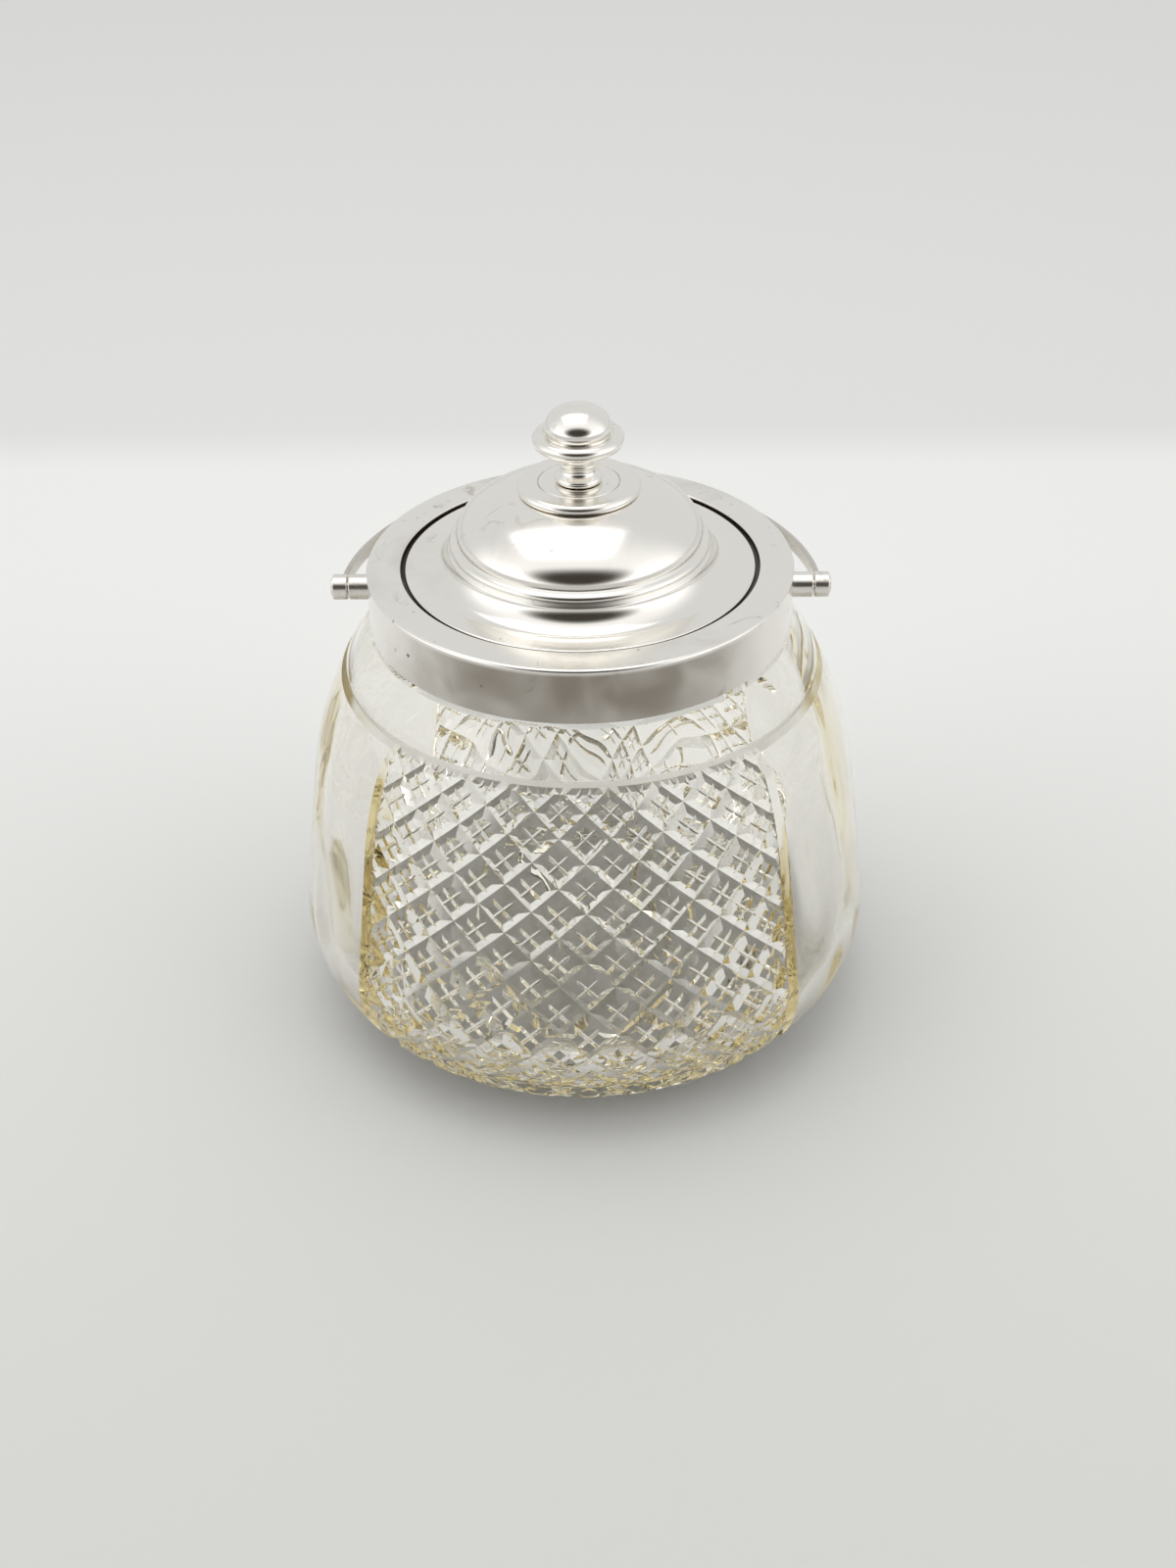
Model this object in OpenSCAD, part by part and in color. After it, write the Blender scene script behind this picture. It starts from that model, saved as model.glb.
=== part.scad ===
// Cut-glass biscuit jar with a silver-plated mount, a lift-off domed lid and a swing handle.
// Millimetres. +Z is up, the jar stands on z = 0 with its axis on Z, and the front cut panel
// faces -Y. The handle's pivots lie on the X axis and the handle is folded to the back (+Y).

/* [Glass body] */
// Height of the lower edge of the silver mount above the table
mount_z = 113.3; // [105:0.1:122]
// Slope of the glass there, measured from straight down
shoulder_a = 39; // [34:0.5:44]
// Radius of the rounded shoulder, seen from the side
shoulder_round = 88; // [75:1:95]
// Slope of the straight flank, measured from straight down
flank_a = 8; // [6:0.5:11]
// Radius of the round turn between the flank and the base
heel_round = 29.3; // [24:0.1:33]
// Angle at which the round turn meets the flat base, measured from level
heel_a = 76.5; // [70:0.5:82]
// Thickness of the glass wall
glass_wall = 5; // [4:0.1:6.5]
// Thickness of the glass floor
floor_t = 9; // [6.5:0.1:12]
// Radius of the hollow under the base
kick_r = 47; // [35:0.5:50]
// Depth of the hollow under the base
kick_d = 1.4; // [0.8:0.1:3]

/* [Cutting] */
// Height of the cut ring round the shoulder
ring_cut_z = 100.4; // [96:0.1:104]
// Width of the cut ring
ring_cut_w = 3.1; // [1.5:0.1:4]
// Depth of the cut ring
ring_cut_d = 1.2; // [0.5:0.1:1.8]
// Half the angle that each cut panel spans round the glass
panel_half_a = 46.2; // [35:0.2:55]
// How far the glass is turned in its mount
glass_turn = -1.4; // [-4:0.1:4]
// Width of the upright cuts beside each panel
mitre_w = 3.4; // [2:0.1:5]
// Depth of the upright cuts
mitre_d = 1.6; // [0.8:0.1:2.2]
// Where the upright cuts end on the round turn, measured down from level
mitre_end_a = 62; // [50:1:70]
// Length over which the upright cuts come up to a point at each end
mitre_tip = 7; // [4:0.5:9]

/* [Diamond cutting] */
// Angle round the jar between neighbouring slanting grooves
groove_pitch_a = 10.87; // [9.5:0.01:16]
// Width of the slanting grooves
groove_w = 4.2; // [3:0.1:4.6]
// Depth of the slanting grooves
groove_d = 1.3; // [0.8:0.1:1.5]
// Height of a row of crossings on the shoulder
crossing_z = 76.5; // [72:0.1:90]
// Where the slanting grooves end on the round turn, measured down from level
groove_end_a = 66; // [50:1:70]

/* [Glass neck] */
// Clearance between the mount's sleeve and the neck
neck_clear = 0.2; // [0.1:0.05:0.6]
// Thickness of the neck's wall
neck_wall = 4.3; // [3.5:0.1:4.8]

/* [Mount] */
// Height of the mount's wall
mount_h = 14.7; // [12:0.1:18]
// Thickness of the mount's sheet
mount_sheet = 0.9; // [0.6:0.05:1]
// Roundness of the mount's upper outer edge
mount_edge = 0.85; // [0.4:0.05:0.85]
// Inner radius of the mount's flat top ring
mouth_r = 45.4; // [42:0.1:50]
// Thickness of the inner sleeve
sleeve_t = 0.6; // [0.4:0.05:0.7]
// Length of the inner sleeve below the top ring
sleeve_h = 12; // [8:0.5:16]
// How far the lid's ledge stands in from the sleeve
ledge_w = 2.2; // [1.6:0.1:2.6]
// Thickness of the lid's ledge
ledge_t = 1.2; // [0.8:0.1:2]
// Plaster between the glass rim and the top ring
plaster_t = 1.8; // [1:0.1:3]
// Plaster between the neck and the mount's wall
bed_t = 2.6; // [2:0.1:4]

/* [Pivots] */
// Depth of the pivot axis below the top of the mount
pivot_drop = 7.5; // [5:0.1:9]
// Radius of the lugs and of the handle's eyes
barrel_r = 3.25; // [2.6:0.05:3.8]
// How far each lug stands out from the mount
lug_l = 5.1; // [4:0.1:7]
// Length of each eye
eye_l = 3.8; // [3:0.1:5]
// Slit between a lug and its eye
slit = 0.3; // [0.2:0.05:0.6]
// Radius of the pivot pins
pin_r = 1.5; // [1.1:0.05:1.8]
// Running clearance between a pin and its eye
pin_clear = 0.06; // [0.03:0.01:0.1]
// Radius of the pins' heads
head_r = 2.35; // [2:0.05:2.9]
// Thickness of the pins' heads
head_t = 0.6; // [0.4:0.05:1]

/* [Handle] */
// Height of the arched handle above its pivots, to the middle of the strap
bail_rise = 71.5; // [64:0.5:80]
// Radius of the handle's gently curved sides
bail_side_round = 85; // [83:1:110]
// Thickness of the strap
strap_t = 1.4; // [1:0.05:1.8]
// Width of the strap
strap_w = 3.6; // [2.6:0.1:5]
// How far the resting handle droops below level at the back
bail_droop = 5; // [0:0.5:9]

/* [Lid] */
// Gap between the lid's rim and the mouth
rim_gap = 1.1; // [0.8:0.1:1.4]
// How far the rim lies below the top of the mount
rim_sink = 0.5; // [0.2:0.1:1]
// Thickness of the lid's sheet
lid_sheet = 0.9; // [0.7:0.05:1.1]
// Width of the rim's flat ring
rim_flat = 5.1; // [4.3:0.1:5.8]
// Radius of the hollow moulding inside the flat ring
cove_round = 6; // [5.5:0.1:6.2]
// Radius of the bead at the foot of the dome
bead_round = 1.5; // [1.2:0.1:1.8]
// How far the dome's foot stands in from the flat ring
dome_inset = 8.2; // [7.7:0.1:9.2]
// Height of the dome
dome_h = 13.6; // [11:0.1:16]
// Radius of the flat seat on top of the dome
crown_r = 13; // [12.5:0.1:13.8]
// Depth of the skirt that centres the lid
skirt_h = 6; // [4:0.5:9]
// Thickness of the skirt
skirt_t = 0.9; // [0.6:0.1:1.2]
// Clearance between the skirt and the ledge
skirt_clear = 0.4; // [0.25:0.05:0.7]

/* [Knob] */
// Radius of the ring moulding under the knob
plinth_r = 15.4; // [14.6:0.1:17]
// Height of the ring moulding above the crown of the dome
plinth_h = 1.8; // [1.5:0.1:2.6]
// Roundness of its outer edge
plinth_edge = 1.5; // [1:0.1:1.5]
// Radius of the knob's foot
foot_r = 10.1; // [8:0.1:12]
// Seam between the foot and the ring moulding
foot_seam = 0.1; // [0.05:0.05:0.2]
// Height of the stem from the foot to the flange
stem_h = 9.4; // [7:0.1:12]
// Radius of the stem's lower swelling
swell_r = 6; // [5.4:0.1:7]
// Radius of the stem's neck
waist_r = 4.4; // [3.6:0.1:5]
// Radius of the stem's upper ring
lip_r = 4.95; // [4.6:0.05:5.4]
// Radius of the knob's flange
flange_r = 11.37; // [10:0.05:13]
// Thickness of the flange
flange_t = 3.4; // [2.8:0.1:4]
// Radius of the knob's ball
ball_r = 8.27; // [7:0.01:9]
// Height of the ball above its widest ring
ball_h = 5.75; // [4.5:0.05:7]
// Height of the widest ring above the flange
ball_foot = 1.4; // [1:0.1:2]

/* [Fastening] */
// Radius of the threaded stud
stud_r = 1.95; // [1.5:0.05:2.2]
// Clearance round the stud
stud_clear = 0.1; // [0.05:0.05:0.3]
// Length of the stud inside the stem
stud_grip = 6; // [4:0.5:7]
// Distance across the nut's flats
nut_af = 7; // [6:0.1:8]
// Thickness of the nut
nut_t = 2.6; // [2:0.1:4]
// Radius of the washer
washer_r = 5.5; // [4.8:0.1:7]
// Thickness of the washer
washer_t = 0.8; // [0.5:0.1:1.2]

/* [Hidden] */
$fn = 96;

// Colours as the object shows them
glass_colour = [0.93, 0.94, 0.86, 0.45];
silver = [0.80, 0.79, 0.77];
brass = [0.72, 0.60, 0.36];
plaster = [0.88, 0.86, 0.80];

// A little more than nothing, so that a cutter passes right through a face
past = 0.5;
// How far two stretches of a cut run over each other
lap = 0.3;
// Steps in a rounded stretch of an outline
steps = 14;

// Radii of the neck and the mount, from the mouth outwards
neck_in_r = mouth_r + sleeve_t + neck_clear;
neck_r = neck_in_r + neck_wall;
shoulder_r = neck_r + bed_t;
mount_r = shoulder_r + mount_sheet;

// Heights of the mount and its pivots
top_z = mount_z + mount_h;
ring_under = top_z - mount_sheet;
pivot_z = top_z - pivot_drop;

// The glass outline, as two rounded stretches joined by a straight flank
shoulder_c = [shoulder_r - shoulder_round * cos(shoulder_a),
    mount_z - shoulder_round * sin(shoulder_a)];
flank_top = shoulder_c + shoulder_round * [cos(flank_a), sin(flank_a)];
heel_cz = heel_round * sin(heel_a);
flank_l = (flank_top[1] - heel_cz - heel_round * sin(flank_a)) / cos(flank_a);
flank_foot = flank_top + flank_l * [sin(flank_a), -cos(flank_a)];
heel_c = flank_foot - heel_round * [cos(flank_a), sin(flank_a)];

// The same outline inside the glass
inner_shoulder = shoulder_round - glass_wall;
inner_heel = heel_round - glass_wall;
neck_meet_a = acos((neck_in_r - shoulder_c[0]) / inner_shoulder);
floor_meet_a = asin((floor_t - heel_c[1]) / inner_heel);
rim_z = ring_under - plaster_t;

// The angle that a length takes up on a circle
function angle_of(length, r) = length / r * 180 / PI;

// Angles of the cut ring's deepest place, its half width and its lower edge on the shoulder
ring_mid_a = asin((ring_cut_z - shoulder_c[1]) / shoulder_round);
ring_half_a = angle_of(ring_cut_w / 2, shoulder_round);
cut_top_a = ring_mid_a - ring_half_a;
// How far below the ring the slanting grooves start, the slope at their crossings and their radius
ring_gap_a = 0.4;
crossing_a = asin((crossing_z - shoulder_c[1]) / shoulder_round);
mid_r = flank_top[0];

// The lid's radii
rim_r = mouth_r - rim_gap;
flat_r = rim_r - rim_flat;
dome_r = flat_r - dome_inset;

// The lid's heights
rim_top = top_z - rim_sink;
rim_under = rim_top - lid_sheet;
ledge_z = rim_under;
cove_c = [flat_r, rim_top + cove_round];
bead_c = [dome_r + 0.2, rim_top + cove_round + bead_round * 0.3];
dome_z = bead_c[1] + bead_round * 1.35;
crown_z = dome_z + dome_h * sqrt(1 - pow(crown_r / dome_r, 2));
skirt_r = mouth_r - ledge_w - skirt_clear;

// The knob's heights
foot_top = crown_z + plinth_h;
flange_z = foot_top + stem_h;
ball_z = flange_z + flange_t;

// Points of the arc round c, from angle a0 to a1, left out at the end when asked
function arc(c, r, a0, a1, n = steps) =
    [for (i = [0:n]) c + r * [cos(a0 + (a1 - a0) * i / n), sin(a0 + (a1 - a0) * i / n)]];

// An upright ellipse's quarter, from its widest point to the radius r_end
function quarter(z, rx, rz, r_end, n = steps) =
    let (a_end = acos(r_end / rx))
    [for (i = [0:n]) [rx * cos(a_end * i / n), z + rz * sin(a_end * i / n)]];

// A list of points backwards
function backwards(p) = [for (i = [len(p) - 1:-1:0]) p[i]];

// The direction that points to the left of the way from a to b
function left_of(a, b) = let (d = b - a) [-d[1], d[0]] / norm(d);

// An outline moved to its left by t, with mitred corners
function beside(p, t) = [for (i = [0:len(p) - 1])
    let (n0 = left_of(p[max(i - 1, 0)], p[max(i, 1)]),
        n1 = left_of(p[min(i, len(p) - 2)], p[min(i + 1, len(p) - 1)]),
        m = n0 + n1)
    p[i] + m * 2 * t / (m * m)];

// A round solid from its half outline
module turned(outline) {
    rotate_extrude()
        polygon(outline);
}

// Corners of the deepest line of an upright cut. It comes out of the glass at both ends.
function mitre_line() = concat(
    [shoulder_c + (shoulder_round + past) * [cos(cut_top_a), sin(cut_top_a)]],
    arc(shoulder_c, shoulder_round - mitre_d, cut_top_a - angle_of(mitre_tip, shoulder_round),
        flank_a, 3),
    arc(heel_c, heel_round - mitre_d, flank_a,
        angle_of(mitre_tip, heel_round) - mitre_end_a, 5),
    [heel_c + (heel_round + past) * [cos(mitre_end_a), -sin(mitre_end_a)]]);

// One upright cut: a V along each stretch of its deepest line
module mitre() {
    line = mitre_line();
    mouth = mitre_d + past;
    half = mouth * mitre_w / 2 / mitre_d;
    for (i = [1:len(line) - 1]) {
        rise = line[i - 1] - line[i];
        translate([line[i][0], 0, line[i][1]])
            rotate([0, -atan2(-rise[0], rise[1]), 0])
                translate([0, 0, -lap])
                    linear_extrude(height = norm(rise) + 2 * lap)
                        polygon([[0, 0], [mouth, -half], [mouth, half]]);
    }
}

// Stations down the glass from the cut ring: radius, height and the outward direction
function stations() = concat(
    [for (i = [0:6]) let (a = cut_top_a - ring_gap_a + (flank_a - cut_top_a + ring_gap_a) * i / 6)
        concat(shoulder_c + shoulder_round * [cos(a), sin(a)], [cos(a), sin(a)])],
    [for (i = [1:3]) concat(flank_top + (flank_foot - flank_top) * i / 3,
        [cos(flank_a), sin(flank_a)])],
    [for (i = [1:7]) let (a = flank_a - (flank_a + groove_end_a) * i / 7)
        concat(heel_c + heel_round * [cos(a), sin(a)], [cos(a), sin(a)])]);

// The unrolled angle from the first station to station i
function unrolled(s, i) = i == 0 ? 0 : unrolled(s, i - 1)
    + 360 / PI * norm([s[i][0] - s[i - 1][0], s[i][1] - s[i - 1][1]]) / (s[i][0] + s[i - 1][0]);

// The unrolled angle between two slopes of the shoulder, by its mean radius
function unrolled_shoulder(a0, a1) = shoulder_round * (a0 - a1)
    / (shoulder_c[0] + shoulder_round * cos((a0 + a1) / 2));

// A place in space at azimuth u from the front, sunk by d under a station
function sunk(q, u, d) = [(q[0] - q[2] * d) * sin(u), -(q[0] - q[2] * d) * cos(u), q[1] - q[3] * d];

// A V cut from place a to place b, open along the direction out
module vee(a, b, out) {
    along = (b - a) / norm(b - a);
    up = out - along * (out * along);
    x = up / norm(up);
    y = cross(along, x);
    mouth = groove_d + past;
    half = mouth * groove_w / 2 / groove_d;
    start = a - along * lap;
    multmatrix([[x[0], y[0], along[0], start[0]], [x[1], y[1], along[1], start[1]],
            [x[2], y[2], along[2], start[2]], [0, 0, 0, 1]])
        linear_extrude(height = norm(b - a) + 2 * lap)
            polygon([[0, 0], [mouth, -half], [mouth, half]]);
}

// The slanting grooves of one panel that lean one way (1 or -1)
module slanting_grooves(lean) {
    s = stations();
    v = [for (i = [0:len(s) - 1]) unrolled(s, i)];
    last = panel_half_a - angle_of(mitre_w / 4, mid_r);
    crossing = unrolled_shoulder(cut_top_a - ring_gap_a, crossing_a);
    first_k = floor((crossing - last - v[len(v) - 1]) / groove_pitch_a);
    last_k = ceil((crossing + last) / groove_pitch_a);
    for (k = [first_k:last_k], i = [1:len(s) - 1]) {
        start = (k - lean / 4) * groove_pitch_a - crossing;
        u = [start + v[i - 1], start + v[i]];
        t = [max(0, (-last - u[0]) / (u[1] - u[0])), min(1, (last - u[0]) / (u[1] - u[0]))];
        if (t[1] - t[0] > 0.12) {
            q = [for (e = [0, 1]) s[i - 1] + (s[i] - s[i - 1]) * t[e]];
            a = [for (e = [0, 1]) lean * (u[0] + (u[1] - u[0]) * t[e])];
            middle = (q[0] + q[1]) / 2;
            middle_a = (a[0] + a[1]) / 2;
            vee(sunk(q[0], a[0], groove_d), sunk(q[1], a[1], groove_d),
                sunk(middle, middle_a, 0) - sunk(middle, middle_a, 1));
        }
    }
}

// The blown and cut glass, with its neck and the hollow inside
module glass_jar() {
    outside = concat(
        [[neck_r, rim_z], [neck_r, mount_z - 0.3], [shoulder_r - 0.2, mount_z - 0.3]],
        arc(shoulder_c, shoulder_round, shoulder_a, ring_mid_a + ring_half_a, 6),
        [shoulder_c + (shoulder_round - ring_cut_d) * [cos(ring_mid_a), sin(ring_mid_a)]],
        arc(shoulder_c, shoulder_round, cut_top_a, flank_a),
        arc(heel_c, heel_round, flank_a, -heel_a, 20));
    kick = [[kick_r, 0], [kick_r - 1.5, kick_d], [0, kick_d]];
    inside = concat(
        [[0, floor_t]],
        arc(heel_c, inner_heel, floor_meet_a, flank_a),
        arc(shoulder_c, inner_shoulder, flank_a, neck_meet_a),
        [[neck_in_r, rim_z]]);
    color(glass_colour)
        difference() {
            turned(concat(outside, kick, inside));
            for (side = [0, 180], edge = [-1, 1])
                rotate([0, 0, glass_turn + side - 90 + edge * panel_half_a])
                    mitre();
            for (side = [0, 180], lean = [-1, 1])
                rotate([0, 0, glass_turn + side])
                    slanting_grooves(lean);
        }
}

// The plaster that beds the mount on the glass
module plaster_bed() {
    wall_in = mount_r - mount_sheet;
    color(plaster)
        turned([[mouth_r + sleeve_t, ring_under], [mouth_r + sleeve_t, rim_z], [neck_r, rim_z],
            [neck_r, mount_z], [wall_in, mount_z], [wall_in, ring_under]]);
}

// The mount's wall and flat top ring, spun from one sheet
module collar() {
    corner = [mount_r - mount_edge, top_z - mount_edge];
    inner_corner = [mouth_r + mount_sheet / 2, ring_under + mount_sheet / 2];
    color(silver)
        turned(concat(
            [[mount_r - mount_sheet, mount_z], [mount_r, mount_z]],
            arc(corner, mount_edge, 0, 90, 6),
            arc(inner_corner, mount_sheet / 2, 90, 180, 5),
            [[mouth_r, ring_under], [mount_r - mount_sheet, ring_under]]));
}

// The sleeve inside the neck, with the ledge that the lid rests on
module collar_sleeve() {
    ledge_r = mouth_r - ledge_w;
    color(silver)
        turned([[mouth_r + sleeve_t, ring_under], [mouth_r, ring_under], [mouth_r, ledge_z],
            [ledge_r, ledge_z], [ledge_r, ledge_z - ledge_t], [mouth_r, ledge_z - ledge_t],
            [mouth_r, ring_under - sleeve_h], [mouth_r + sleeve_t, ring_under - sleeve_h]]);
}

// A round bar along X on the pivot axis
module pivot_bar(r, x0, x1) {
    translate([x0, 0, pivot_z])
        rotate([0, 90, 0])
            cylinder(h = x1 - x0, r = r);
}

// Places along the pivot axis, outwards from the mount
lug_end = mount_r + lug_l;
eye_start = lug_end + slit;
eye_end = eye_start + eye_l;
pin_start = mount_r + 1;

// A fixed lug on the right, with its root cut to fit the mount
module lug() {
    color(silver)
        difference() {
            pivot_bar(barrel_r, mount_r - 2, lug_end);
            translate([0, 0, mount_z])
                cylinder(h = mount_h, r = mount_r, $fn = 180);
            pivot_bar(pin_r, pin_start, lug_end + past);
        }
}

// A pivot pin on the right, riveted over the eye
module pivot_pin() {
    head_x = eye_end + pin_clear;
    color(silver) {
        pivot_bar(pin_r, pin_start, head_x);
        pivot_bar(head_r, head_x, head_x + head_t);
    }
}

// An eye of the handle on the right
module eye() {
    color(silver)
        difference() {
            pivot_bar(barrel_r, eye_start, eye_end);
            pivot_bar(pin_r + pin_clear, eye_start - past, eye_end + past);
        }
}

module left_lug() { mirror([1, 0, 0]) lug(); }
module right_lug() { lug(); }
module left_pivot_pin() { mirror([1, 0, 0]) pivot_pin(); }
module right_pivot_pin() { pivot_pin(); }
module left_eye() { mirror([1, 0, 0]) eye(); }
module right_eye() { eye(); }

// The arch of the handle: two gently curved sides and a rounder top, meeting smoothly
bail_half = eye_start + strap_t / 2 + 0.4;
side_c = bail_side_round - bail_half;
over = bail_side_round - bail_rise;
top_c = (side_c * side_c - over * over) / (2 * over);
top_round = bail_rise - top_c;
side_sweep = atan(top_c / side_c);

// A face of the bent strap, t out from its middle: a curved side, the rounder top, the other side
function bail_line(t) =
    let (short = side_sweep * 7 / 8)
    concat(
        arc([-side_c, 0], bail_side_round + t, 0, short, 7),
        arc([0, top_c], top_round + t, side_sweep, 180 - side_sweep, 28),
        arc([side_c, 0], bail_side_round + t, 180 - short, 180, 7));

// The bent strap of the handle, soldered to its eyes
module handle_strap() {
    half = strap_t / 2;
    color(silver)
        difference() {
            translate([0, 0, pivot_z])
                rotate([-bail_droop, 0, 0])
                    linear_extrude(height = strap_w, center = true)
                        polygon(concat(bail_line(half), backwards(bail_line(-half))));
            pivot_bar(barrel_r, eye_start - 1, eye_end);
            pivot_bar(barrel_r, -eye_end, 1 - eye_start);
        }
}

// The lid's sheet from the flat seat on the dome down to the rim, seen from outside
function lid_outline() = concat(
    [[stud_r + stud_clear, crown_z]],
    backwards(quarter(dome_z, dome_r, dome_h, crown_r)),
    arc(bead_c, bead_round, 75, -15, 8),
    backwards(arc(cove_c, cove_round, 270, 187, 10)),
    [[rim_r - lid_sheet / 2, rim_top]]);

// The spun lid: dome, bead, hollow moulding and flat rim
module lid_shell() {
    skin = lid_outline();
    rolled = arc([rim_r - lid_sheet / 2, rim_top - lid_sheet / 2], lid_sheet / 2, 80, -80, 6);
    color(silver)
        turned(concat(skin, rolled, backwards(beside(skin, -lid_sheet))));
}

// The skirt under the lid that drops inside the ledge
module lid_skirt() {
    color(silver)
        turned([[skirt_r, rim_under], [skirt_r, rim_under - skirt_h],
            [skirt_r - skirt_t, rim_under - skirt_h], [skirt_r - skirt_t, rim_under]]);
}

// The ring moulding between the dome and the knob
module knob_plinth() {
    edge_c = [plinth_r - plinth_edge, foot_top - plinth_edge];
    inner_r = foot_r + foot_seam;
    color(silver)
        turned(concat(
            [[inner_r, foot_top]],
            arc(edge_c, plinth_edge, 90, -20, 10),
            [[crown_r + 0.3, crown_z], [inner_r, crown_z]]));
}

// The flat foot of the knob, let into the ring moulding
module knob_foot() {
    color(silver)
        turned([[stud_r + stud_clear, crown_z], [foot_r, crown_z],
            [foot_r, foot_top], [stud_r + stud_clear, foot_top]]);
}

// The turned stem of the knob
module knob_stem() {
    swell = 1.1;
    bore_z = foot_top + stud_grip;
    color(silver)
        turned(concat(
            [[stud_r + stud_clear, foot_top]],
            arc([swell_r - swell, foot_top + swell], swell, -55, 35, 6),
            [[waist_r + 0.45, foot_top + stem_h * 0.28], [waist_r + 0.1, foot_top + stem_h * 0.34],
            [waist_r, foot_top + stem_h * 0.40], [waist_r + 0.05, foot_top + stem_h * 0.45]],
            arc([lip_r - 0.5, foot_top + stem_h * 0.54], 0.5, -70, 70, 6),
            [[waist_r, foot_top + stem_h * 0.62], [lip_r + 1.2, flange_z],
            [0, flange_z], [0, bore_z], [stud_r + stud_clear, bore_z]]));
}

// The round-edged flange of the knob
module knob_flange() {
    half = flange_t / 2;
    color(silver)
        turned(concat(
            [[0, flange_z]],
            arc([flange_r - half, flange_z + half], half, -90, 90),
            [[ball_r + 0.5, ball_z], [ball_r + 0.3, ball_z - 0.35], [ball_r - 0.3, ball_z - 0.35],
            [ball_r - 0.5, ball_z], [0, ball_z]]));
}

// The domed ball on top
module knob_ball() {
    wide_z = ball_z + ball_foot;
    color(silver)
        turned(concat(
            [[0, ball_z], [ball_r - 0.6, ball_z], [ball_r - 0.2, ball_z + 0.45]],
            quarter(wide_z, ball_r, ball_h, 0, 18)));
}

// The stud that holds the knob to the lid
module knob_stud() {
    foot = crown_z - lid_sheet - washer_t - nut_t - 1;
    color(brass)
        translate([0, 0, foot])
            cylinder(h = foot_top + stud_grip - foot, r = stud_r);
}

// The washer under the lid
module knob_washer() {
    color(brass)
        translate([0, 0, crown_z - lid_sheet - washer_t])
            difference() {
                cylinder(h = washer_t, r = washer_r);
                translate([0, 0, -past])
                    cylinder(h = washer_t + 2 * past, r = stud_r + stud_clear);
            }
}

// The nut that draws the knob down
module knob_nut() {
    color(brass)
        translate([0, 0, crown_z - lid_sheet - washer_t - nut_t])
            difference() {
                cylinder(h = nut_t, r = nut_af / sqrt(3), $fn = 6);
                translate([0, 0, -past])
                    cylinder(h = nut_t + 2 * past, r = stud_r + stud_clear / 2);
            }
}

glass_jar();
plaster_bed();
collar();
collar_sleeve();
left_lug();
right_lug();
left_pivot_pin();
right_pivot_pin();
handle_strap();
left_eye();
right_eye();
lid_shell();
lid_skirt();
knob_plinth();
knob_foot();
knob_stem();
knob_flange();
knob_ball();
knob_stud();
knob_washer();
knob_nut();
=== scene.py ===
"""Looks of a cut-glass biscuit jar with a silver-plated mount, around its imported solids.

The classes hold lengths in millimetres, as a maker writes them; meshes are in metres. The jar
stands on z = 0 with its axis on Z, its front cut panel faces -Y, and its handle is folded to +Y.
"""

import logging
import math
from bisect import bisect_left
from dataclasses import dataclass, field
from enum import Enum
from typing import Iterable, Optional, Sequence, Union

import bmesh
import bpy
from mathutils import Matrix, Vector


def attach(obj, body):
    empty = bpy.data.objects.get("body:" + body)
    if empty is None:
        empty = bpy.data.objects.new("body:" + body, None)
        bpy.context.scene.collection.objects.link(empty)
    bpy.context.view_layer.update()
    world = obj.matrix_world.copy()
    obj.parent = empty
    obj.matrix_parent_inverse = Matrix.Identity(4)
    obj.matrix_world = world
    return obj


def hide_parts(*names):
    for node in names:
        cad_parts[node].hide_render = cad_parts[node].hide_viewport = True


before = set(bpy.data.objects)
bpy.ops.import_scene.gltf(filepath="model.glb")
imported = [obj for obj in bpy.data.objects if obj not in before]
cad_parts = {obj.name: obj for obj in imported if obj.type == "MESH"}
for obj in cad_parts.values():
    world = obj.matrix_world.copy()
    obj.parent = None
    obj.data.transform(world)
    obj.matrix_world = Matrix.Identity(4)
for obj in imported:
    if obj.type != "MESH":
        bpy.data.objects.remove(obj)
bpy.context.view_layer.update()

MM = 0.001  # metres
TAU = 2 * math.pi
SLACK = 1e-5  # what counts as nothing on an outline
SNAP = 1e-6  # how near a scored line has to pass to go through a point of the sheet
WELD = 1e-7  # how near points of a turned piece have to meet, in metres
CRISP = 28.0  # the turn in degrees from which a turned piece's edge stays crisp

# Lengths that several pieces share, in millimetres.
MOUNT_FOOT = 113.3
PIVOT_Z = 120.5
STUD_HOLE = 2.05

log = logging.getLogger("biscuit_jar")

Point = tuple[float, float]
Colour = tuple[float, float, float]
Value = Union["Signal", float, Colour]


class Body(Enum):
    """What a piece moves with."""

    JAR = "jar"
    HANDLE = "handle"
    LID = "lid"


class Slot(Enum):
    """The record's material slots, by name."""

    SILVER = "silver_plate"
    GLASS = "glass"


# ---------------------------------------------------------------- shader maths


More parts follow.
